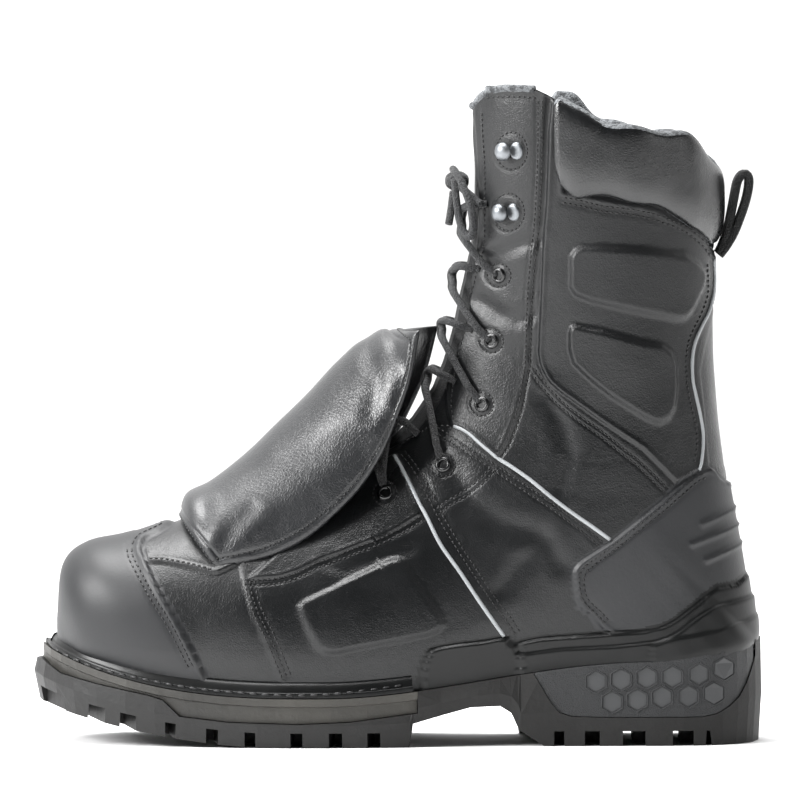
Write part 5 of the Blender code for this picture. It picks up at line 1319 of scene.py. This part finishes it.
lace_pieces = []
for number in range(5):
    for side in (-1, 1):
        start = holes(side, number)
        end = holes(-side, number + 1)
        if number + 1 == len(EYELETS):
            end = lace_anchor_at(-side, number + 1)
        path = lace_path(start, end, 0.9 * MM if side > 0 else 0.0, under=number + 1 < len(EYELETS))
        lace_pieces.append(lace("lace_%d_%s" % (number + 1, "outer" if side < 0 else "inner"), path))
start, end = holes(-1, 0), holes(1, 0)
lace_pieces.append(lace("lace_bar", lace_path(start, end, 0.0, False)))
for side, word in ((-1, "outer"), (1, "inner")):
    start = lace_anchor_at(side, len(EYELETS))
    end = (KNOT[0], side * 0.003)
    points = np.array([over_ridge(start[0] + (end[0] - start[0]) * t, start[1] + (end[1] - start[1]) * t,
                                  lace_offset(start[0], start[1] + (end[1] - start[1]) * t) + 0.8 * MM * t)
                       for t in np.linspace(0, 1, 16)]) + shift
    lace_pieces.append(lace("lace_to_knot_" + word, points))
print("laces", len(lace_pieces))

# %% [markdown]
# Two loops, two ends and a knot of three turns make the bow, where the solids have them.

# %% Bow
bow_pieces = []
knot_centre = over_ridge(KNOT[0], 0.0, KNOT[1]) + shift
for side, word in ((-1, "outer"), (1, "inner")):
    for name, rows in BOW:
        points = [over_ridge(KNOT[0] + ds, side * y, off) for ds, y, off in rows]
        path = round_path(np.array(points), LACE_STEP) + shift
        piece = tube("bow_%s_%s" % (name, word), path, LACE_RADIUS, 12)
        length = float(np.linalg.norm(np.diff(path, axis=0), axis=1).sum())
        bow_pieces.append((piece, name + "_" + word, path, length))
        print(piece.name, "length", round(length, 4))
wraps = []
for k in range(3):
    turn = np.linspace(0, 2 * math.pi, 40)
    tilt = (k - 1) * 0.5
    high = np.sin(turn) * 4.4 * MM
    ring = np.stack([np.cos(turn) * 3.6 * MM, high * math.cos(tilt),
                     high * math.sin(tilt) + (k - 1) * 0.6 * MM], 1)
    wraps.append(tube("knot_wrap_%d" % (k + 1), ring + knot_centre, LACE_RADIUS, 12))

# %% [markdown]
# Eyelets and lace hooks are turned metal, so each is a short profile spun round the direction that the
# leather faces. A hook is a foot with a mushroom head in front of it.

# %% Eyelets and hooks
def turned(name, centre, out, profile, sides=32, stretch=1.0):
    """Spins rows of radius and height round an outward direction."""
    up = np.array([0.0, 0.0, 1.0]) - out * out[2]
    up /= np.linalg.norm(up)
    across = np.cross(up, out)
    verts = [centre + out * high + (across * math.cos(turn) + up * math.sin(turn) * stretch) * radius
             for radius, high in profile for turn in np.linspace(0, 2 * math.pi, sides, endpoint=False)]
    return face_outward(mesh_object(name, verts, ring_faces(len(profile), sides)))


# Rows of radius and height, in millimetres
EYELET_ROWS = np.array([(0.01, -0.5), (1.9, -0.5), (1.9, 0.7), (2.15, 1.05), (2.6, 1.15), (3.1, 0.95),
                        (3.45, 0.45), (3.5, -0.4)]) * MM
FOOT_ROWS = np.array([(0.01, 0.9), (1.9, 0.9), (2.7, 0.75), (3.1, 0.4), (3.2, -0.4)]) * MM
HEAD_ROWS = np.array([(0.01, 6.0), (1.3, 5.9), (2.5, 5.5), (3.4, 4.8), (4.0, 3.9), (4.1, 3.2), (3.7, 2.7),
                      (2.4, 2.3), (1.7, 1.9), (1.7, -0.4)]) * MM
FOOT_PLACE = 4.0 * MM       # the foot lies this far behind the head
fittings = []
for word, side in (("outer", -1), ("inner", 1)):
    for number, (share, up) in enumerate(EYELETS):
        place, out = on_skin(along(share), up * HEIGHT, word)
        fittings.append((turned("ring_%s_%d" % (word, number + 1), place, out, EYELET_ROWS),
                         "eyelet_%s_%d" % (word, number + 1)))
    for number, (share, up) in enumerate(HOOKS):
        place, out = on_skin(along(share), up * HEIGHT, word)
        foot_place, foot_out = on_skin(along(share) + FOOT_PLACE, up * HEIGHT, word)
        head = turned("hook_head_%s_%d" % (word, number + 1), place, out, HEAD_ROWS)
        foot = turned("hook_foot_%s_%d" % (word, number + 1), foot_place, foot_out, FOOT_ROWS, stretch=1.25)
        fittings += [(head, "hook_%s_%d" % (word, number + 1)), (foot, "hook_%s_%d" % (word, number + 1))]
print("fittings", len(fittings))

# %% [markdown]
# The pull loop is webbing folded double and sewn in at the top of the backstay.

# %% Pull loop
line = rounded(LINES["pull_loop"])
line = even_points(np.stack([line[:, 0], np.zeros(len(line)), line[:, 1]], 1), 1.0 * MM)
run = np.gradient(line, axis=0)
PULL_THICKNESS = 3.9 * MM
pull_loop = tube("pull_tape", line + shift, STRAP_WIDTH / 2, 24, PULL_THICKNESS / STRAP_WIDTH,
                 np.stack([-run[:, 2], run[:, 1], run[:, 0]], 1), 0.4)

# %% [markdown]
# The welt is a flange with a stitched groove and a soft roll against the leather. Its profile is carried
# along the outline of the sole.

# %% Welt
# Share of the way in to the feather line, and share of the height
WELT_ROLL = ((0.0, 0.02), (0.0, 0.22), (0.02, 0.31), (0.08, 0.36), (0.17, 0.34), (0.24, 0.27), (0.30, 0.30),
             (0.34, 0.44), (0.40, 0.62), (0.50, 0.80), (0.63, 0.93), (0.78, 1.0), (1.0, 1.02), (1.12, 0.96))
share_row = MIDSOLE_END * (1 - np.cos(np.linspace(0, math.pi / 2, 190)))
share_row = share_row[share_row < MIDSOLE_END - 0.0005]
welt_inset = fixed(0.0046, 0.0120)
rings = []
for across, up in WELT_ROLL:
    outer, inner = outline(
        share_row, lambda share: welt_inset(share) * (1 - across) + across * feather_inset(share))
    path = np.array(list(outer[::-1]) + list(inner[1:]))
    rings.append(np.stack([path[:, 0], path[:, 1], [seat(x) + up * WELT_HEIGHT for x in path[:, 0]]], 1))
rings = np.array(rings) + shift
welt_piece = mesh_object("welt_roll", rings.reshape(-1, 3), grid_faces(*rings.shape[:2], False))
print("welt", len(welt_piece.data.polygons), "faces")

# %% [markdown]
# Colours are sRGB hex values and one function turns them linear, as the renderer works in linear light.
# One more function adds a node with its settings and links, and everything below uses it.

# %% Colour and node helpers
def srgb(text):
    parts = [int(text[k:k + 2], 16) / 255 for k in (1, 3, 5)]
    return tuple(c / 12.92 if c <= 0.04045 else ((c + 0.055) / 1.055) ** 2.4 for c in parts) + (1.0,)


def add(tree, kind, inputs=None, **settings):
    """Adds a node. An input that is a (node, output) pair is linked, any other is set."""
    made = tree.nodes.new(kind)
    for key, value in settings.items():
        setattr(made, key, value)
    for key, value in (inputs or {}).items():
        if isinstance(value, tuple) and len(value) == 2 and isinstance(value[0], bpy.types.Node):
            tree.links.new(value[0].outputs[value[1]], made.inputs[key])
        else:
            made.inputs[key].default_value = value
    return made


# %% [markdown]
# Leather with a full grain is cowhide with its pores left on. The pores are cells about 1 mm apart, drawn a
# little coarse so that they show. Roughness varies where the finish is rubbed, a soft wear tint lightens some
# places, and broad dents break up the highlights.

# %% Leather and rubber materials
DENT_SCALE = 42.0           # dents to a metre


def surface_material(name, dark, light, rough, grain, bump, cells=True, coat=0.0, rough_change=0.12,
                     wear=0.35, metallic=0.0, ior=1.5, sheen=0.0, fine=0.3, waves=0.0, flecks=0.0):
    """Solid surface. grain is the size of its pattern and waves the height of its dents, in metres."""
    material = bpy.data.materials.new(name)
    material.use_nodes = True
    tree = material.node_tree
    tree.nodes.clear()
    spot = add(tree, "ShaderNodeTexCoord")
    cloud = add(tree, "ShaderNodeTexNoise", {"Vector": (spot, "Object"), "Scale": 0.3 / (grain * 25),
                                             "Detail": 5.0, "Roughness": 0.6})
    speck = add(tree, "ShaderNodeTexNoise", {"Vector": (spot, "Object"), "Scale": 0.5 / grain,
                                             "Detail": 4.0})
    if cells:
        pores = add(tree, "ShaderNodeTexVoronoi", {"Vector": (spot, "Object"), "Scale": 1.0 / grain},
                    feature="DISTANCE_TO_EDGE")
        shape = add(tree, "ShaderNodeMapRange", {"Value": (pores, "Distance"), "From Max": 0.25},
                    clamp=True)
        pattern = (shape, "Result")
    else:
        pattern = (speck, "Fac")
    mixed = add(tree, "ShaderNodeMath", {0: pattern, 1: (speck, "Fac")}, operation="MULTIPLY_ADD")
    tree.links.new(speck.outputs["Fac"], mixed.inputs[2])
    tone = add(tree, "ShaderNodeMapRange", {"Value": (cloud, "Fac"), "From Min": 0.35, "From Max": 0.7,
                                            "To Max": wear})
    colour = add(tree, "ShaderNodeMix", {"Factor": (tone, "Result"), 6: srgb(dark), 7: srgb(light)},
                 data_type="RGBA")
    roughness = add(tree, "ShaderNodeMapRange", {"Value": (cloud, "Fac"), "From Min": 0.3, "From Max": 0.7,
                                                 "To Min": rough - rough_change,
                                                 "To Max": rough + rough_change})
    relief_node = add(tree, "ShaderNodeBump", {"Height": (mixed, "Value"), "Strength": bump,
                                               "Distance": grain * fine})
    if waves:
        dents = add(tree, "ShaderNodeTexNoise", {"Vector": (spot, "Object"), "Scale": DENT_SCALE,
                                                 "Detail": 1.5, "Roughness": 0.45, "Distortion": 0.3})
        soft = add(tree, "ShaderNodeBump", {"Height": (dents, "Fac"), "Strength": 1.0, "Distance": waves})
        tree.links.new(soft.outputs["Normal"], relief_node.inputs["Normal"])
    if flecks:
        dark_spots = add(tree, "ShaderNodeMapRange", {"Value": (speck, "Fac"), "From Min": 0.42,
                                                      "From Max": 0.52, "To Min": 1.0 - flecks})
        colour = add(tree, "ShaderNodeMix", {"Factor": (dark_spots, "Result"), 6: srgb("#1c1d1f"),
                                             7: (colour, 2)}, data_type="RGBA")
    shader = add(tree, "ShaderNodeBsdfPrincipled", {
        "Base Color": (colour, 2), "Roughness": (roughness, "Result"), "Normal": (relief_node, "Normal"),
        "Metallic": metallic, "IOR": ior, "Coat Weight": coat, "Coat Roughness": 0.25,
        "Sheen Weight": sheen})
    add(tree, "ShaderNodeOutputMaterial", {"Surface": (shader, "BSDF")})
    return material


LEATHER = surface_material("full_grain_cowhide", "#0c0d0e", "#1c1d1f", 0.38, 0.0011, 0.3, coat=0.08,
                           waves=0.0009, ior=1.44)
GUARD_LEATHER = surface_material("waxed_guard_leather", "#131416", "#27282b", 0.42, 0.0013, 0.35, coat=0.2,
                                 waves=0.0008)
COLLAR_LEATHER = surface_material("soft_collar_leather", "#0c0d0e", "#1a1b1d", 0.26, 0.0012, 0.3, coat=0.45,
                                  waves=0.0022)
CAP_RUBBER = surface_material("matte_bumper_rubber", "#121315", "#202124", 0.50, 0.0006, 0.15, cells=False,
                              rough_change=0.05)
COUNTER_RUBBER = surface_material("matte_counter_rubber", "#18191b", "#2a2b2e", 0.48, 0.0007, 0.18,
                                  cells=False, rough_change=0.08)
GLOSS_RUBBER = surface_material("glossy_moulded_rubber", "#040505", "#0b0c0d", 0.40, 0.0012, 0.08,
                                cells=False, coat=0.06, rough_change=0.06, ior=1.38)
SOLE_RUBBER = surface_material("nitrile_outsole_rubber", "#050505", "#141312", 0.62, 0.0012, 0.35,
                               cells=False, wear=0.9)
MIDSOLE_RUBBER = surface_material("scuffed_midsole_rubber", "#242320", "#44423d", 0.55, 0.0015, 0.4,
                                  cells=False, wear=0.9)
INSERT_RUBBER = surface_material("dimpled_heel_rubber", "#191a1b", "#2f3032", 0.55, 0.0010, 0.45, wear=0.5,
                                 fine=0.4)
PLATE_RUBBER = surface_material("smooth_plate_rubber", "#333436", "#474849", 0.45, 0.0010, 0.1,
                                cells=False, wear=0.6)
LINING_CLOTH = surface_material("knitted_mesh_lining", "#444648", "#86898c", 0.9, 0.0010, 0.9, wear=1.0,
                                sheen=0.03, fine=0.6, flecks=0.75)
TONGUE_CLOTH = surface_material("nylon_tongue_cloth", "#0b0c0d", "#191a1c", 0.8, 0.0010, 0.7, sheen=0.1)
LACE_BRAID = surface_material("braided_polyester_lace", "#040405", "#222427", 0.75, 0.0011, 1.0, wear=0.9,
                              sheen=0.1, fine=0.8)
WEBBING = surface_material("woven_polypropylene_tape", "#070808", "#17181a", 0.8, 0.0012, 1.0, fine=0.8)
THREAD = surface_material("bonded_nylon_thread", "#050506", "#141517", 0.5, 0.0005, 0.5, cells=False,
                          coat=0.1)
PIPING = surface_material("reflective_piping_tape", "#8d9092", "#b4b7b9", 0.35, 0.0006, 0.2, cells=False,
                          rough_change=0.05)
BLACK_ENAMEL = surface_material("black_enamel_brass", "#050506", "#0f1011", 0.25, 0.0008, 0.05, cells=False,
                                rough_change=0.05, coat=0.4)
HOOK_STEEL = surface_material("satin_plated_steel", "#75787b", "#a3a6aa", 0.42, 0.0006, 0.08, cells=False,
                              rough_change=0.08, metallic=1.0)
print("materials", len(bpy.data.materials))

# %% [markdown]
# Each piece takes its material, rides on the one body of the boot, and hides the solid that it stands for.
# Where a solid's shape is already right, a copy of it gets smooth faces, and the outsole and midsole also a
# small bevel.

# %% Dressing
def dress(piece, material, slot, *stands_for):
    piece.data.materials.clear()
    piece.data.materials.append(material)
    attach(piece, "root")
    if stands_for:
        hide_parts(*stands_for)


for word in ("outer", "inner"):
    dress(skins["leather", word], LEATHER, "upper_leather", "upper", "eyestay_" + word, "backstay")
    dress(skins["cap", word], CAP_RUBBER, "toe_rubber", "toe_cap")
    dress(skins["counter", word], COUNTER_RUBBER, "toe_rubber", "heel_counter")
    dress(skins["cup", word], GLOSS_RUBBER, "sole_rubber", "heel_cup", "waist_wing_" + word)
    dress(skins["lining", word], LINING_CLOTH, "insole_cloth")
dress(guard_piece, GUARD_LEATHER, "guard_leather", "met_guard")
lined = [polygon.material_index for polygon in collar.data.polygons]
dress(collar, COLLAR_LEATHER, "guard_leather", "collar")
collar.data.materials.append(LINING_CLOTH)
collar.data.polygons.foreach_set("material_index", lined)
for piece in stitch_pieces:
    dress(piece, THREAD, "upper_leather")
for piece in piping_pieces:
    dress(piece, PIPING, "webbing")
for piece in binding_pieces:
    dress(piece, LINING_CLOTH, "insole_cloth")
for piece in lace_pieces:
    dress(piece, LACE_BRAID, "lace", "laces")
for piece in wraps:
    dress(piece, LACE_BRAID, "lace", "lace_knot")
for piece, node, path, length in bow_pieces:
    dress(piece, LACE_BRAID, "lace", node)

for piece, node in fittings:
    metal, slot = (HOOK_STEEL, "hook_steel") if node.startswith("hook") else (BLACK_ENAMEL, "eyelet")
    dress(piece, metal, slot, node)
dress(pull_loop, WEBBING, "webbing", "pull_loop")
dress(welt_piece, GLOSS_RUBBER, "welt_rubber", "welt")

SOFTENED = (
    # node, slot, material, bevel, angle of the edges that stay crisp, in degrees
    ("outsole", "sole_rubber", SOLE_RUBBER, 0.5 * MM, 44),
    ("midsole", "midsole_foam", MIDSOLE_RUBBER, 0.4 * MM, 32),
    ("heel_insert", "insert_rubber", INSERT_RUBBER, 0.0, 30),
    ("insole", "insole_cloth", LINING_CLOTH, 0.0, 60),
    ("tongue", "tongue_cloth", TONGUE_CLOTH, 0.0, 60),
)
TONGUE_BACK = 2.2 * MM      # the tongue lies this much deeper in the throat, above the guard
for name, slot, material, bevel, angle in SOFTENED:
    source = nodes[name]
    piece = bpy.data.objects.new("soft_" + name, source.data.copy())
    piece.matrix_world = source.matrix_world.copy()
    bpy.context.scene.collection.objects.link(piece)
    piece.data.polygons.foreach_set("use_smooth", [True] * len(piece.data.polygons))
    if name == "tongue":
        for vertex in piece.data.vertices:
            vertex.co.x += TONGUE_BACK * smooth((vertex.co.z - 0.14) / 0.04)
    if name == "midsole":
        end = max(vertex.co.x for vertex in piece.data.vertices)
        for vertex in piece.data.vertices:
            vertex.co.x += CLEARANCE * 1.4 * (vertex.co.x > end - 0.5 * MM)
    if bevel:
        soft = piece.modifiers.new("soft_edges", "BEVEL")
        soft.width = bevel
        soft.segments = 2
        soft.limit_method = "ANGLE"
        soft.angle_limit = math.radians(angle)
    crisp = piece.modifiers.new("crisp_edges", "EDGE_SPLIT")
    crisp.split_angle = math.radians(angle)
    if name in ("outsole", "midsole"):
        piece.modifiers.new("even_shading", "WEIGHTED_NORMAL")
    dress(piece, material, slot, name)
print("dressed")

# %% [markdown]
# The welt is stitched through with coarse thread in a groove on its flange.

# %% Welt stitches
def mesh_tree(mesh):
    return ray_tree([v.co for v in mesh.vertices], [p.vertices for p in mesh.polygons])


welt_tree = mesh_tree(welt_piece.data)


def on_welt(x, z, side):
    place, _ = side_hit(welt_tree, x, z, side)
    return None if place is None else (np.array(place), np.array([0.0, float(side), 0.5]))


rows = []
for side in (-1, 1):
    rows += run_stitches(rounded(LINES["welt_seam"]), 5.2 * MM, lambda x, z: on_welt(x, z, side))
welt_thread = stitch_mesh("stitches_welt", rows, 0.6 * MM)
dress(welt_thread, THREAD, "welt_rubber")
print("welt stitches", len(rows))

# %% [markdown]
# The heel insert carries two rows of hexagons. Each gets a thin raised rim and a smooth plate on its floor,
# because the recess alone hardly shows in soft light.

# %% Hexagons on the heel insert
insert_tree = mesh_tree(nodes["heel_insert"].data)
HEX_RIM_RADIUS = 0.56 * 1.06 * HEX_WIDTH
rims = 0
for side, word in ((-1, "outer"), (1, "inner")):
    plate_verts, plate_faces = [], []
    for number, (share, up) in enumerate(HEXAGONS):
        ring = []
        for turn in np.arange(7) * math.pi / 3:
            x = along(share) + math.sin(turn) * HEX_RIM_RADIUS
            place, _ = side_hit(insert_tree, x, up * HEIGHT + math.cos(turn) * HEX_RIM_RADIUS, side)
            if place is not None:
                ring.append(np.array(place) + np.array([0.0, side * 0.05 * MM, 0.0]))
        if len(ring) < 7:
            continue
        rim = tube("hex_rim_%s_%d" % (word, number + 1), even_points(np.array(ring), 0.8 * MM), 0.32 * MM, 8)
        dress(rim, INSERT_RUBBER, "insert_rubber")
        rims += 1
        base = len(plate_verts)
        middle = np.mean(ring[:6], axis=0)
        floor_hit, _ = side_hit(insert_tree, middle[0], middle[2], side)
        recess = (middle[1] - floor_hit.y) * side
        sunk = 0.4 * MM if recess > 0.5 * MM else -0.4 * MM
        for corner in ring[:6]:
            plate_verts.append(middle + (corner - middle) * 0.88 - np.array([0.0, side * sunk, 0.0]))
        plate_faces.append(tuple(range(base, base + 6)))
    dress(mesh_object("hex_plates_" + word, plate_verts, plate_faces, False), PLATE_RUBBER, "insert_rubber")
print("hexagon rims", rims)

# %% [markdown]
# The studio is a wide pale floor under a bright sky, with large soft lights from above and the front. The
# camera has a long lens and stands at the height of the boot. The sky is dark in front of the boot, so that
# black leather stays black.

# %% Studio and camera
FLOOR_HALF = 30.0
corners = [(x * FLOOR_HALF, y * FLOOR_HALF, 0) for x, y in ((-1, -1), (1, -1), (1, 1), (-1, 1))]
floor = mesh_object("floor", corners, [(0, 1, 2, 3)], False)
paper = bpy.data.materials.new("white_paper")
paper.use_nodes = True
paper.node_tree.nodes["Principled BSDF"].inputs["Base Color"].default_value = srgb("#f4f4f4")
paper.node_tree.nodes["Principled BSDF"].inputs["Roughness"].default_value = 0.9
floor.data.materials.append(paper)

world = bpy.data.worlds.new("studio")
bpy.context.scene.world = world
world.use_nodes = True
sky = world.node_tree
sky.nodes.clear()
way_in = add(sky, "ShaderNodeTexCoord")
parts = add(sky, "ShaderNodeSeparateXYZ", {"Vector": (way_in, "Generated")})
FRONT_GLOW = 0.06           # sky on the camera's side
BACK_GLOW = 1.45            # sky behind the boot
glow = add(sky, "ShaderNodeMapRange", {"Value": (parts, "Y"), "From Min": -0.25, "From Max": 0.55,
                                       "To Min": FRONT_GLOW, "To Max": BACK_GLOW})
light_all = add(sky, "ShaderNodeBackground", {"Color": srgb("#ffffff"), "Strength": (glow, "Result")})
add(sky, "ShaderNodeOutputWorld", {"Surface": (light_all, "Background")})

LIGHTS = (
    # name, place, aim, width, power
    ("key_box", (-1.15, -0.55, 0.75), (-0.02, 0.0, 0.16), 0.6, 32.0),
    ("top_box", (-0.20, 0.05, 1.3), (0.0, 0.0, 0.15), 0.8, 30.0),
    ("side_box", (1.15, -0.55, 0.5), (0.05, 0.0, 0.18), 0.4, 1.0),
)
for name, place, aim, width, power in LIGHTS:
    light = bpy.data.lights.new(name, "AREA")
    light.shape = "SQUARE"
    light.size = width
    light.energy = power
    lamp = bpy.data.objects.new(name, light)
    lamp.location = place
    lamp.rotation_mode = "QUATERNION"
    lamp.rotation_quaternion = (Vector(aim) - Vector(place)).to_track_quat("-Z", "Y")
    bpy.context.scene.collection.objects.link(lamp)
daylight = bpy.data.lights.new("soft_overhead", "SUN")
daylight.energy = 1.9
daylight.angle = math.radians(60)
overhead = bpy.data.objects.new("soft_overhead", daylight)
overhead.rotation_mode = "QUATERNION"
overhead.rotation_quaternion = Vector((0.25, -0.15, -1.0)).to_track_quat("-Z", "Y")
bpy.context.scene.collection.objects.link(overhead)

VIEW_WIDTH = 0.3512         # metres across the picture, at the boot
DISTANCE = 4.0
ELEVATION = math.radians(2.0)
SENSOR = 36.0
camera = bpy.data.cameras.new("camera")
camera.sensor_width = SENSOR
camera.lens = SENSOR * DISTANCE / VIEW_WIDTH
camera.clip_start = 0.1
camera.clip_end = 100.0
eye = bpy.data.objects.new("camera", camera)
bpy.context.scene.collection.objects.link(eye)
aim = Vector((0.0011, 0.0, 0.1493))
eye.location = aim + Vector((0, -math.cos(ELEVATION), math.sin(ELEVATION))) * DISTANCE
eye.rotation_mode = "QUATERNION"
eye.rotation_quaternion = (aim - eye.location).to_track_quat("-Z", "Y")
bpy.context.scene.camera = eye
bpy.context.scene.view_settings.view_transform = "Standard"
